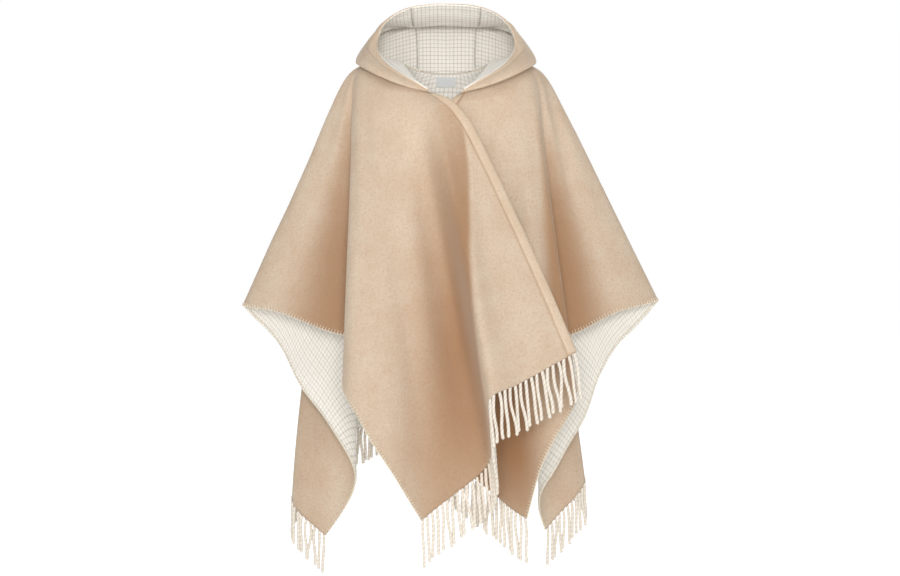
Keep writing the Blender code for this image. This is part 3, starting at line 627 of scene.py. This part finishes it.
def makeWool(name, colours, sheen=0.35, checked=False, streak=3.0):
    # brushed double-faced wool: fulled and napped, so it scatters light softly and shows mottled fibre
    material, tree = startMaterial(name)
    plain, pale, deep, folded = colours
    uv = addNode(tree, "UVMap").outputs[0]
    place = addNode(tree, "TexCoord").outputs["Object"]
    fibres = (1 / wool["fibre"], 1 / (wool["fibre"] * streak), 1)
    lying = addNode(tree, "Mapping", {0: uv, "Scale": fibres}).outputs[0]
    fibre = addNoise(tree, lying, 1.0, 5.0, 0.65).outputs[0]
    clump = addNoise(tree, place, wool["clumpsPerMetre"], 4.0, 0.65).outputs[0]
    cloud = addNoise(tree, place, 1 / wool["cloud"], 3.0, 0.55).outputs[0]
    colour = plain
    for noise, part, tone in ((fibre, "paleShare", pale), (clump, "deepShare", deep), (cloud, "cloudShare", deep)):
        start, full, share = wool[part]
        colour = mixColours(tree, mapRange(tree, noise, start, full, 0.0, share), colour, tone)
    if checked:
        wander = addNoise(tree, uv, wool["waversPerMetre"], 2.0).outputs["Color"]
        waver = (wool["waver"], wool["waver"], 0.0)
        shaken = addNode(tree, "VectorMath", {0: wander, 1: waver}, operation="MULTIPLY").outputs[0]
        moved = addNode(tree, "VectorMath", {0: uv, 1: shaken}, operation="ADD").outputs[0]
        split = addNode(tree, "SeparateXYZ", {0: moved})
        starts, ends = wool["checkSoft"]
        for tone, width, shift in wool["checkLines"]:
            for axis in (0, 1):
                shifted = doMath(tree, "ADD", split.outputs[axis], shift)
                away = doMath(tree, "PINGPONG", shifted, wool["checkRepeat"] / 2)
                line = mapRange(tree, away, width * starts, width * ends, wool["checkShare"], 0.0, smooth=True)
                colour = mixColours(tree, line, colour, tone)
    # the attribute mixes in the folded colour: painted shade in folds, grooves, seams and under the crown fold, and on
    # the hood's turned edge the cream face
    attribute = "liningPaintedShade" if checked else "paintedShadeAndCream"
    depth = addNode(tree, "Attribute", attribute_name=attribute).outputs["Fac"]
    colour = mixColours(tree, depth, colour, folded)
    height = doMath(tree, "ADD", fibre, clump)
    finishMaterial(tree, colour, height, wool["napStrength"], wool["napDepth"], {
        "Roughness": 0.92, "Specular IOR Level": 0.25, "Sheen Weight": sheen, "Sheen Roughness": 0.5,
        "Sheen Tint": linear(wool["sheen"])})
    return material


def makeYarn(name, ply, otherPly, grooveShade):
    # two-ply wool yarn: one ply of each face of the cloth, with painted shade in the groove where they meet
    material, tree = startMaterial(name)
    uv = addNode(tree, "UVMap").outputs[0]
    place = addNode(tree, "TexCoord").outputs["Object"]
    around = addNode(tree, "SeparateXYZ", {0: uv}).outputs[0]
    # painted shade in the groove between the plies
    valley = mapRange(tree, doMath(tree, "PINGPONG", around, 0.5), 0.32, 0.50, 0.0, 0.75, smooth=True)
    which = mapRange(tree, doMath(tree, "PINGPONG", around, 1.0), 0.40, 0.60, 0.0, 1.0, smooth=True)
    colour = mixColours(tree, valley, mixColours(tree, which, ply, otherPly), grooveShade)
    fuzz = addNoise(tree, place, 900.0, 3.0).outputs[0]
    finishMaterial(tree, colour, fuzz, 0.5, 0.0005, {
        "Roughness": 0.9, "Specular IOR Level": 0.25, "Sheen Weight": 0.3})
    return material


def makeSatinLabel(name):
    # woven polyester satin: fine cross ribs with a low gloss
    material, tree = startMaterial(name)
    uv = addNode(tree, "UVMap").outputs[0]
    ribForm = {"Vector": uv, "Scale": 520.0, "Distortion": 0.4, "Detail": 1.0}
    ribs = addNode(tree, "TexWave", ribForm, bands_direction="Y").outputs[0]
    mottle = addNoise(tree, uv, 300.0, 2.0).outputs[0]
    colour = mixColours(tree, mottle, "#e6e7e4", "#d0d4d5")
    finishMaterial(tree, colour, ribs, 0.4, 0.0002, {"Roughness": 0.45})
    return material


camelWool = makeWool("camel_brushed_wool", wool["camel"])
checkedWool = makeWool("cream_checked_brushed_wool", wool["cream"], sheen=0.25, checked=True)
edgeWool = makeWool("cut_edge_fulled_wool", wool["cutEdge"], streak=1.0)
bandWool = makeWool("turned_edge_brushed_wool", wool["turnedEdge"], streak=1.5)
hoodEdgeWool = makeWool("turned_edge_two_tone_wool", wool["hoodEdge"], streak=1.5)
# the last colour of each yarn is the painted shade between its plies
fringeYarn = makeYarn("two_ply_twisted_wool", "#efe7db", "#ece3d5", "#cdbfa9")
stitchYarn = makeYarn("blanket_stitch_wool", "#f1ead9", "#eadfca", "#c8b699")
satinLabel = makeSatinLabel("woven_satin_label")
print("materials made")


# the blanket, one cloth with closer columns by its front edges
body = {
    "columns": 424, "rings": 108, "edgeZone": 0.07, "edgeShare": 4, "least": 4,
    # the painted shade in the stitched groove beside each turned front edge: its strength low down, more at the top,
    # heights of the change, distance in from the edge and half width
    "groovePaintedShade": 0.30, "topPaintedShade": 0.45, "topFades": (-0.20, -0.08), "grooveInset": 0.0188, "grooveWidth": 0.0024,
}


def blanketColumns(count):
    # places across with one exactly at each corner and tip
    first, last = blanket.ends[0], blanket.ends[-1]
    zone = body["edgeZone"]
    stops = sorted({*blanket.ends, blanket.at["rightTip"], blanket.at["leftTip"], first + zone, last - zone})
    total, places = last - first, []
    for low, high in zip(stops, stops[1:]):
        share = body["edgeShare"] if low == first or high == last else 1
        steps = max(body["least"], round(share * count * (high - low) / total))
        places.extend(np.linspace(low, high, steps, endpoint=False))
    return np.array([*places, stops[-1]])


bodyPlaces = blanketColumns(body["columns"])
bodyPaintedShade = {}


def placeBlanket(columnShare, ringShare):
    across = np.interp(columnShare, np.linspace(0, 1, len(bodyPlaces)), bodyPlaces)
    along = blanket.hemDrop(across) * ringShare
    z = blanket.hung(across, along)[:, 2]
    fromEdge = np.minimum(across - blanket.ends[0], blanket.ends[-1] - across)
    spread = size(blanket.hung(across + 1e-3, along) - blanket.hung(across - 1e-3, along))[:, 0] / 2e-3
    # painted shade in the stitched groove beside each turned edge, stronger at the top, and in the deep folds
    tone = body["groovePaintedShade"] + body["topPaintedShade"] * (1 - fadeOut(z, *body["topFades"]))
    grooveShade = tone * bell(fromEdge * spread - body["grooveInset"], body["grooveWidth"])
    bodyPaintedShade["depth"] = np.maximum(grooveShade, blanket.folded(across, z)[1])
    return raised(blanket, across, along, blanket.creased(across, along)), blanket.flat(across, along)


blanketMesh = stretchedGrid("blanket", len(bodyPlaces) - 1, body["rings"], placeBlanket, flipped=True)
blanketPiece = addPiece("blanket", blanketMesh, "camel_wool", camelWool, checkedWool, edgeWool,
                        replaces=["front_over", "front_under", "back"])
giveTone(blanketMesh, "paintedShadeAndCream", bodyPaintedShade["depth"])
giveWall(blanketPiece, cloak["cloth"], **twoFaced)
print("blanket hung")


# turned edges: the two faces are turned in and stitched down, so each is a soft raised border
turnedEdge = {
    "width": 0.017,
    # distance in from the edge and height over the camel face
    "frontProfile": [(0.0172, 0.0002), (0.0162, 0.0020), (0.0135, 0.0031), (0.0080, 0.0034), (0.0030, 0.0029),
                     (0.0002, 0.0015), (-0.0009, -0.0010), (0.0002, -0.0034), (0.0030, -0.0037)],
    "hoodProfile": [(0.0172, 0.0002), (0.0160, 0.0013), (0.0130, 0.0019), (0.0080, 0.0021), (0.0030, 0.0018),
                    (0.0004, 0.0007), (-0.0003, -0.0012)],
    "wall": 0.0008,
    "top": 0.016,
    "aboveHem": 0.001,
    "rings": 16, "frontColumns": 150, "hoodColumns": 300,
    "longest": 0.20,            # the most of the hood's depth that its edge may take
    "metresPerTurn": 0.003,
    # by the throat the cream face is turned out: width, degrees from the throat where it narrows, border, softness
    "cream": 0.0145, "creamFades": (26, 84), "creamBack": 0.0020, "creamSoft": 0.0018,
}


# the hood's panels: seams pull in and have painted shade along them, and the side rolls are smoothed
hoodPanels = {
    "columns": 110, "gussetColumns": 60, "rings": 180, "seamWidth": 0.0045, "seamDip": 0.0012, "seamPaintedShade": 0.65,
    "stitchWidth": 0.0026, "stitchPaintedShade": 0.22, "paintedShadeWidth": 0.0019, "lineSamples": 160,
    "smoothing": 140, "rollFrom": 0.135,
}

# the crown is folded over inside: a step, with painted shadow on the panel behind it and a painted dark line under its
# edge. Reaches are degrees from the middle, and heights are shares of the way from the neckline to the rim.
crownFold = {
    "reach": (66, 90), "height": 0.785, "sag": 0.10, "sagReach": 60, "depth": -0.0060, "soft": 0.030,
    "step": (-0.003, 0.006), "patches": ((0.16, 9, 40), (0.14, 21, 0)), "tone": 0.74,
    "behindStarts": (0.575, 0.618), "behindEnds": (0.76, 0.782), "behindReach": (40, 60),
    "edgeRise": 0.007, "edgeSoft": 0.010,
}


def hoodFlat(points, columns, rings, fromLast):
    # lengths round the panel from its seam and up from the neckline, so that the check keeps its size
    sheet = points.reshape(rings + 1, columns + 1, 3)[::-1]
    aside, up = np.zeros((rings + 1, columns + 1)), np.zeros((rings + 1, columns + 1))
    aside[:, 1:] = np.cumsum(size(np.diff(sheet, axis=1))[..., 0], axis=1)
    up[1:] = np.cumsum(size(np.diff(sheet, axis=0))[..., 0], axis=0)
    half = (rings + 1) // 2
    if fromLast is None:
        aside -= aside[:, columns // 2][:, None]
        up = np.tile(up[:, columns // 2][:, None], (1, columns + 1))
    else:
        seam = columns if fromLast else 0
        aside -= aside[:, seam][:, None]
        up += up[half, seam] - up[half][None, :]
    return np.stack([aside, up], axis=-1)[::-1].reshape(-1, 2)


def softenRoll(mesh):
    # the lower roll at each side is a soft bend
    bm = bmesh.new()
    bm.from_mesh(mesh)
    roll = [v for v in bm.verts if abs(v.co.x - cloak["middleX"]) > hoodPanels["rollFrom"] and not v.is_boundary]
    for _ in range(hoodPanels["smoothing"]):
        bmesh.ops.smooth_vert(bm, verts=roll, factor=0.5, use_axis_x=True, use_axis_y=True, use_axis_z=True)
    bm.to_mesh(mesh)
    bm.free()


def hoodPanel(name, lowTurn, highTurn, columns, seams, fromLast, node):
    tone = {}

    def place(columnShare, ringShare):
        across = lowTurn + (highTurn - lowTurn) * columnShare
        along = ringShare
        points = hood.point(across, along)
        out = outOf(hood, across, along)
        dip = np.zeros(len(across))
        for seam in seams:
            away = size(points - hood.point(np.full(len(across), float(seam)), along))[:, 0]
            dip -= hoodPanels["seamDip"] * bell(away, hoodPanels["seamWidth"])
        aside = np.abs(across - 180)
        crown = fadeOut(aside, *crownFold["reach"])
        under = crownFold["height"] - crownFold["sag"] * (aside / crownFold["sagReach"])**2 - along
        dip += crownFold["depth"] * crown * bell(under, crownFold["soft"]) * fadeOut(under, *crownFold["step"])
        # painted shadow of the crown fold, uneven along it: on the panel behind and in a line under the fold's edge
        patchy = crownFold["tone"]
        for share, waves, start in crownFold["patches"]:
            patchy = patchy + share * np.sin(np.radians(across * waves + start))
        behind = (1 - fadeOut(along, *crownFold["behindStarts"])) * fadeOut(along, *crownFold["behindEnds"])
        behind *= fadeOut(aside, *crownFold["behindReach"])
        edge = bell(under + crownFold["edgeRise"], crownFold["edgeSoft"])
        tone["depth"] = np.clip(crown * patchy, 0, 1) * np.maximum(behind, edge)
        return points + out * dip[:, None], hoodFlat(points, columns, hoodPanels["rings"], fromLast)

    mesh = stretchedGrid(name, columns, hoodPanels["rings"], place)
    softenRoll(mesh)
    piece = addPiece(name, mesh, "camel_wool", camelWool, checkedWool, checkedWool, replaces=[node])
    # the seams and the stitch line along the turned edge, each with its width and the strength of its painted shade
    count = hoodPanels["lineSamples"]
    seamed = hoodPanels["seamWidth"], hoodPanels["seamPaintedShade"]
    lines = [(hood.point(np.full(count, float(seam)), np.linspace(0, 1, count)), *seamed) for seam in seams]
    turns = np.linspace(lowTurn - 2, highTurn + 2, count)
    stitched = hood.point(turns, 1 - np.minimum(turnedEdge["width"] / hood.rimRate(turns), turnedEdge["longest"]))
    lines.append((stitched, hoodPanels["stitchWidth"], hoodPanels["stitchPaintedShade"]))
    spots = np.array([v.co for v in mesh.vertices])
    seamWeights, depth = np.ones(len(spots)), np.zeros(len(spots))
    for line, width, linePaintedShade in lines:
        away = np.min(np.linalg.norm(spots[:, None, :] - line[None, :, :], axis=2), axis=1)
        seamWeights = np.minimum(seamWeights, np.clip(away / width, 0.0, 1.0))
        depth = np.maximum(depth, linePaintedShade * bell(away, hoodPanels["paintedShadeWidth"]))
    # painted shade along the seams and the stitch line, on both faces; the lining also takes the crown fold's painted
    # shadow
    giveTone(mesh, "paintedShadeAndCream", depth)
    giveTone(mesh, "liningPaintedShade", np.maximum(depth, tone["depth"]))
    thin = piece.vertex_groups.new(name="wallShare")
    for index, weight in enumerate(seamWeights):
        thin.add([index], float(weight), "REPLACE")
    giveWall(piece, cloak["cloth"], **twoFaced, vertex_group=thin.name, thickness_vertex_group=cloak["seamShare"])
    return piece


firstTurn, lastTurn = hoodForm["ends"]
low, high = hoodForm["gusset"]
sideColumns = hoodPanels["columns"]
hoodRight = hoodPanel("hoodRight", firstTurn, low, sideColumns, [low], True, "hood_side_right")
hoodGusset = hoodPanel("hoodGusset", low, high, hoodPanels["gussetColumns"], [low, high], None, "hood_centre")
hoodLeft = hoodPanel("hoodLeft", high, lastTurn, sideColumns, [high], False, "hood_side_left")
print("hood sewn")


def edgeStrip(name, columns, place, node, material):
    mesh = stretchedGrid(name, columns, turnedEdge["rings"], place)
    bm = bmesh.new()
    bm.from_mesh(mesh)
    bmesh.ops.recalc_face_normals(bm, faces=bm.faces)
    bm.to_mesh(mesh)
    bm.free()
    piece = addPiece(name, mesh, "camel_wool_band", material, replaces=[node])
    giveWall(piece, turnedEdge["wall"], offset=0)
    return piece


def profileAt(profile, share):
    table = np.array(turnedEdge[profile])
    return smoothCurve(np.linspace(0, 1, len(table)), table)(np.clip(share, 0, 1))


def placeFrontEdge(edge, inward):
    def place(columnShare, ringShare):
        drop = float(blanket.hemDrop(np.array([edge]))[0])
        along = turnedEdge["top"] + (drop - turnedEdge["aboveHem"] - turnedEdge["top"]) * columnShare
        inset, height = profileAt("frontProfile", ringShare).T
        across = beside(blanket, edge, inward, along, inset)
        bed = np.full(len(along), float(edge)) + inward * 1e-4
        out = outOf(blanket, np.where(inset < 0, bed, across), along)
        height = height + blanket.creased(across, along)
        return blanket.point(across, along) + out * height[:, None], np.stack([inset, along], axis=-1)
    return place


frontColumns = turnedEdge["frontColumns"]
bandOver = edgeStrip("turnedEdgeOver", frontColumns, placeFrontEdge(blanket.knots[0], 1), "band_over", bandWool)
bandUnder = edgeStrip("turnedEdgeUnder", frontColumns, placeFrontEdge(blanket.knots[-1], -1), "band_under", bandWool)
hoodEdgeTone = {}


def placeHoodEdge(columnShare, ringShare):
    turn = firstTurn + (lastTurn - firstTurn) * columnShare
    rate = hood.rimRate(turn)
    inset, height = profileAt("hoodProfile", ringShare).T
    reach = turnedEdge["cream"] * fadeOut(180 - np.abs(turn - 180), *turnedEdge["creamFades"]) - turnedEdge["creamBack"]
    hoodEdgeTone["cream"] = fadeOut(inset, reach, reach + turnedEdge["creamSoft"])
    squeeze = np.minimum(1, turnedEdge["longest"] * rate / turnedEdge["width"])
    along = 1 - inset * squeeze / rate
    out = outOf(hood, turn, np.minimum(along, 1.0))
    flat = np.stack([inset, turn * turnedEdge["metresPerTurn"]], axis=-1)
    return hood.point(turn, along) + out * height[:, None], flat


bandHood = edgeStrip("turnedEdgeHood", turnedEdge["hoodColumns"], placeHoodEdge, "hood_rim_band", hoodEdgeWool)
giveTone(bandHood.data, "paintedShadeAndCream", hoodEdgeTone["cream"])
print("turned edges folded")


# the label, bare, inside the nape
labelForm = {"width": 0.040, "top": 0.005, "drop": 0.021, "lift": 0.0006, "wall": 0.0007, "puff": 0.0004,
             "columns": 24, "rings": 12}


def placeLabel(columnShare, ringShare):
    along = labelForm["top"] + labelForm["drop"] * ringShare
    middle = blanket.at["backValley2"]
    half = beside(blanket, middle, 1, along, labelForm["width"] / 2) - middle
    across = middle + half * (2 * columnShare - 1)
    puff = labelForm["puff"] * np.sin(columnShare * math.pi) * np.sin(ringShare * math.pi)
    inner = -cloak["cloth"] - labelForm["lift"] - puff + blanket.creased(across, along)
    flat = np.stack([(columnShare - 0.5) * labelForm["width"], ringShare * labelForm["drop"]], axis=-1)
    return raised(blanket, across, along, inner), flat


labelMesh = stretchedGrid("neckLabel", labelForm["columns"], labelForm["rings"], placeLabel)
labelPiece = addPiece("neckLabel", labelMesh, "woven_label", satinLabel, replaces=["label"])
giveWall(labelPiece, labelForm["wall"])


# fringe: the cloth's own yarns, twisted in pairs. Sides of the blanket are numbered from the over edge.
fringeForm = {
    # lengths in metres; front and back are the strands' own
    "pitch": 0.012, "apart": 0.0072, "endMargin": 0.004, "rootDrop": 0.0035, "buried": 0.004,
    "front": 0.087, "back": 0.078, "radius": 0.0035, "sides": 10, "rings": 26, "twists": 56,
    "lean": 0.35, "reach": 0.030, "sway": 0.0080, "wave": 0.0032, "bulge": 0.0030, "samples": 4000, "seed": 7,
    "turnsDown": 0.022,         # length in which a strand turns from the cloth's fall to its own
    "knotAt": 0.955, "knotWidth": 0.03, "knot": 0.16, "tip": 0.022,    # shares of the strand
}


def belowHem(across, distance):
    small = 1e-4
    drop, later = blanket.hemDrop(across), blanket.hemDrop(across + small)
    hem = blanket.point(across + small, later) - blanket.point(across, drop)
    ray = blanket.point(across, drop) - blanket.point(across, drop - small)
    sine = size(np.cross(hem, ray))[..., 0] / (size(hem) * size(ray))[..., 0]
    return drop + distance / sine


def strandRoots(side):
    across = np.linspace(*blanket.ends[side:side + 2], fringeForm["samples"])
    along = belowHem(across, fringeForm["rootDrop"])
    roots = raised(blanket, across, along, blanket.creased(across, along) - cloak["cloth"] / 2)
    rays = blanket.point(across, along) - blanket.point(across, along - fringeForm["reach"])
    rays /= size(rays)
    hang = fringeForm["lean"] * rays + (1 - fringeForm["lean"]) * np.array([0, 0, -1.0])
    hang /= size(hang)
    walked = walkedAlong(roots)
    chosen, nextAt = [], fringeForm["endMargin"]
    for i, at in enumerate(walked):
        if at < nextAt or at > walked[-1] - fringeForm["endMargin"]:
            continue
        if chosen:
            offset = roots[chosen] - roots[i]
            offset -= (offset * hang[i]).sum(axis=1, keepdims=True) * hang[i]
            near = size(roots[chosen] - roots[i])[:, 0] < 2 * fringeForm["front"]
            if (size(offset)[:, 0][near] < fringeForm["apart"]).any():
                continue
        chosen.append(i)
        nextAt = at + fringeForm["pitch"]
    tangents = np.gradient(roots, axis=0)
    tangents /= size(tangents)
    return roots[chosen], rays[chosen], hang[chosen], tangents[chosen]


def fringe(name, side, strand, node):
    dice = random.Random(fringeForm["seed"] + len(name))
    bm = bmesh.new()
    steps = np.linspace(0, 1, fringeForm["rings"] + 1)
    t = steps[:, None]
    for index, (root, ray, hang, aside) in enumerate(zip(*strandRoots(side))):
        full = fringeForm[strand] * dice.uniform(0.95, 1.0)
        start = root - ray * fringeForm["buried"]
        lean = fringeForm["sway"] * ((1 if index % 2 else -1) * dice.uniform(0.0, 0.45) + dice.uniform(-0.25, 0.25))
        wave = dice.uniform(-1, 1) * fringeForm["wave"]
        out = np.cross(aside, hang)
        bulge = dice.uniform(-0.5, 0.5) * fringeForm["bulge"]
        down = full * t
        turning = 1 - np.exp(-down / fringeForm["turnsDown"])
        path = start + ray * down * (1 - turning * 0.8) * 0.35 + hang * down * (0.65 + 0.28 * turning)
        path += aside * (lean * t**1.6 + wave * np.sin(t * 5.5)) + out * bulge * np.sin(t * 3.0)
        reach = size(path[-1] - path[0])[0]
        path = path[0] + (path - path[0]) * (full + fringeForm["buried"]) / reach
        radii = np.full(len(steps), fringeForm["radius"]) * dice.uniform(0.92, 1.06)
        radii *= 1 + fringeForm["knot"] * bell(steps - fringeForm["knotAt"], fringeForm["knotWidth"])
        radii *= np.clip((1.0 - steps) / fringeForm["tip"], 0.0, 1.0)**0.5
        yarnAlong(bm, path, radii, fringeForm["sides"], fringeForm["twists"])
    return addPiece(name, closedYarns(name, bm), "cream_wool_fringe", fringeYarn, replaces=[node])


fringeOver = fringe("fringeOver", 0, "front", "fringe_over")
fringeBack = fringe("fringeBack", 2, "back", "fringe_back")
fringeUnder = fringe("fringeUnder", 4, "front", "fringe_under")
print("fringe twisted")


# blanket stitch along the plain side edges
stitch = {
    "pitch": 0.0062, "slant": 0.0016, "samples": 3000, "step": 0.004, "into": 0.004,
    # distance in from the edge and height over the camel face
    "bite": [(0.0060, -0.0006), (0.0048, 0.0008), (0.0020, 0.0010), (-0.0004, 0.0004), (-0.0014, -0.0015),
             (-0.0004, -0.0034), (0.0020, -0.0040), (0.0048, -0.0038), (0.0060, -0.0024)],
    # radius, sides, twists for each metre and lobes
    "yarn": (0.00085, 6, 180, 0.05), "edgeYarn": (0.0010, 8, 160, 0.08),
}


def stitchedEdge(name, side):
    across = np.linspace(*blanket.ends[side:side + 2], stitch["samples"])
    walked = walkedAlong(blanket.point(across, blanket.hemDrop(across)))
    count = int(walked[-1] / stitch["pitch"])
    dice = random.Random(len(name))
    bm = bmesh.new()
    spots = np.interp((np.arange(count) + 0.5) * stitch["pitch"], walked, across)
    drop = blanket.hemDrop(spots)
    out = outOf(blanket, spots, drop)
    edge = raised(blanket, spots, drop, blanket.creased(spots, drop))
    later, before = spots + 1e-4, spots - 1e-4
    run = blanket.point(later, blanket.hemDrop(later)) - blanket.point(before, blanket.hemDrop(before))
    run /= size(run)
    inward = np.cross(out, run)
    inward /= size(inward)
    into = blanket.point(spots, drop - stitch["into"]) - blanket.point(spots, drop)
    inward *= np.sign((inward * into).sum(axis=1, keepdims=True))
    radius, sides, twists, lobes = stitch["yarn"]
    insets, heights = np.array(stitch["bite"]).T[..., None]
    drifts = np.linspace(-0.5, 0.5, len(insets))[:, None]
    for i in range(count):
        slant = stitch["slant"] * dice.uniform(0.4, 1.3)
        bite = dice.uniform(0.85, 1.1)
        path = edge[i] + inward[i] * insets * bite + out[i] * heights + run[i] * drifts * slant
        yarnAlong(bm, path, np.full(len(path), radius), sides, twists, lobes)
    steps = int(walked[-1] / stitch["step"])
    fine = np.interp(np.linspace(stitch["step"] / 2, walked[-1] - stitch["step"] / 2, steps), walked, across)
    drop = blanket.hemDrop(fine)
    edging = raised(blanket, fine, drop, blanket.creased(fine, drop) - cloak["cloth"] / 2)
    radius, sides, twists, lobes = stitch["edgeYarn"]
    yarnAlong(bm, edging, np.full(len(edging), radius), sides, twists, lobes)
    return addPiece(name, closedYarns(name, bm), "cream_wool_fringe", stitchYarn)


stitchRight = stitchedEdge("blanketStitchRight", 1)
stitchLeft = stitchedEdge("blanketStitchLeft", 3)
print("edges stitched")


# studio: floor, soft lights, camera
studio = {
    "floorDrop": 0.30, "floorSize": 60.0, "floor": "#f7f6f4", "floorRoughness": 0.9,
    "floorGlow": 1.0, "floorBounce": 0.38, "roomGlow": 1.0, "roomLight": 0.27,
    "camera": (0.0, -3.6, -0.426), "lens": 72, "sensor": 36, "farthest": 200,
    # name, place, aim, width, watts, spread in degrees
    "lights": [
        ("frontSoftbox", (0.0, -4.0, 0.0), (0.0, 0.0, -0.30), 1.1, 76.0, 180),
        ("topSoftbox", (0.0, -2.2, 2.5), (0.0, 0.0, -0.40), 1.2, 22.0, 180),
        ("hoodSoftbox", (0.0, -2.4, -0.1), (0.0, 0.08, 0.07), 0.3, 0.055, 10),
        ("backSoftbox", (1.6, 3.2, 1.6), (0.0, 0.0, -0.35), 1.6, 30.0, 180),
    ],
}

bm = bmesh.new()
bmesh.ops.create_grid(bm, x_segments=1, y_segments=1, size=studio["floorSize"] / 2)
bmesh.ops.translate(bm, verts=bm.verts, vec=(0, 0, cadBox[0][2] - studio["floorDrop"]))
floorMesh = meshFrom("studioFloor", bm)
floor = placeObject("studioFloor", floorMesh)

# white paper lit from behind: pale and even to the eye, with less light on the cloth
floorPaint, tree = startMaterial("lit_white_paper")
paper = tree.nodes["Principled BSDF"]
paper.inputs["Base Color"].default_value = linear(studio["floor"])
paper.inputs["Roughness"].default_value = studio["floorRoughness"]
paper.inputs["Emission Color"].default_value = (1, 1, 1, 1)
seen = addNode(tree, "LightPath").outputs["Is Camera Ray"]
glow = mapRange(tree, seen, 0.0, 1.0, studio["floorBounce"], studio["floorGlow"])
tree.links.new(glow, paper.inputs["Emission Strength"])
floorMesh.materials.append(floorPaint)

world = bpy.data.worlds.new("studioWorld")
bpy.context.scene.world = world
world.use_nodes = True
sky = world.node_tree
seen = addNode(sky, "LightPath").outputs["Is Camera Ray"]
glow = mapRange(sky, seen, 0.0, 1.0, studio["roomLight"], studio["roomGlow"])
sky.nodes["Background"].inputs["Color"].default_value = (1, 1, 1, 1)
sky.links.new(glow, sky.nodes["Background"].inputs["Strength"])

for name, place, aim, width, power, spread in studio["lights"]:
    lamp = bpy.data.lights.new(name, "AREA")
    lamp.shape = "SQUARE"
    lamp.size = width
    lamp.energy = power
    lamp.spread = math.radians(spread)
    light = placeObject(name, lamp)
    light.location = place
    light.rotation_euler = (Vector(aim) - Vector(place)).to_track_quat("-Z", "Y").to_euler()

lens = bpy.data.cameras.new("camera")
lens.lens = studio["lens"]
lens.sensor_width = studio["sensor"]
lens.clip_end = studio["farthest"]
camera = placeObject("camera", lens)
camera.location = studio["camera"]
camera.rotation_euler = (math.radians(90), 0, 0)
bpy.context.scene.camera = camera
bpy.context.scene.view_settings.view_transform = "Standard"
print("studio set")
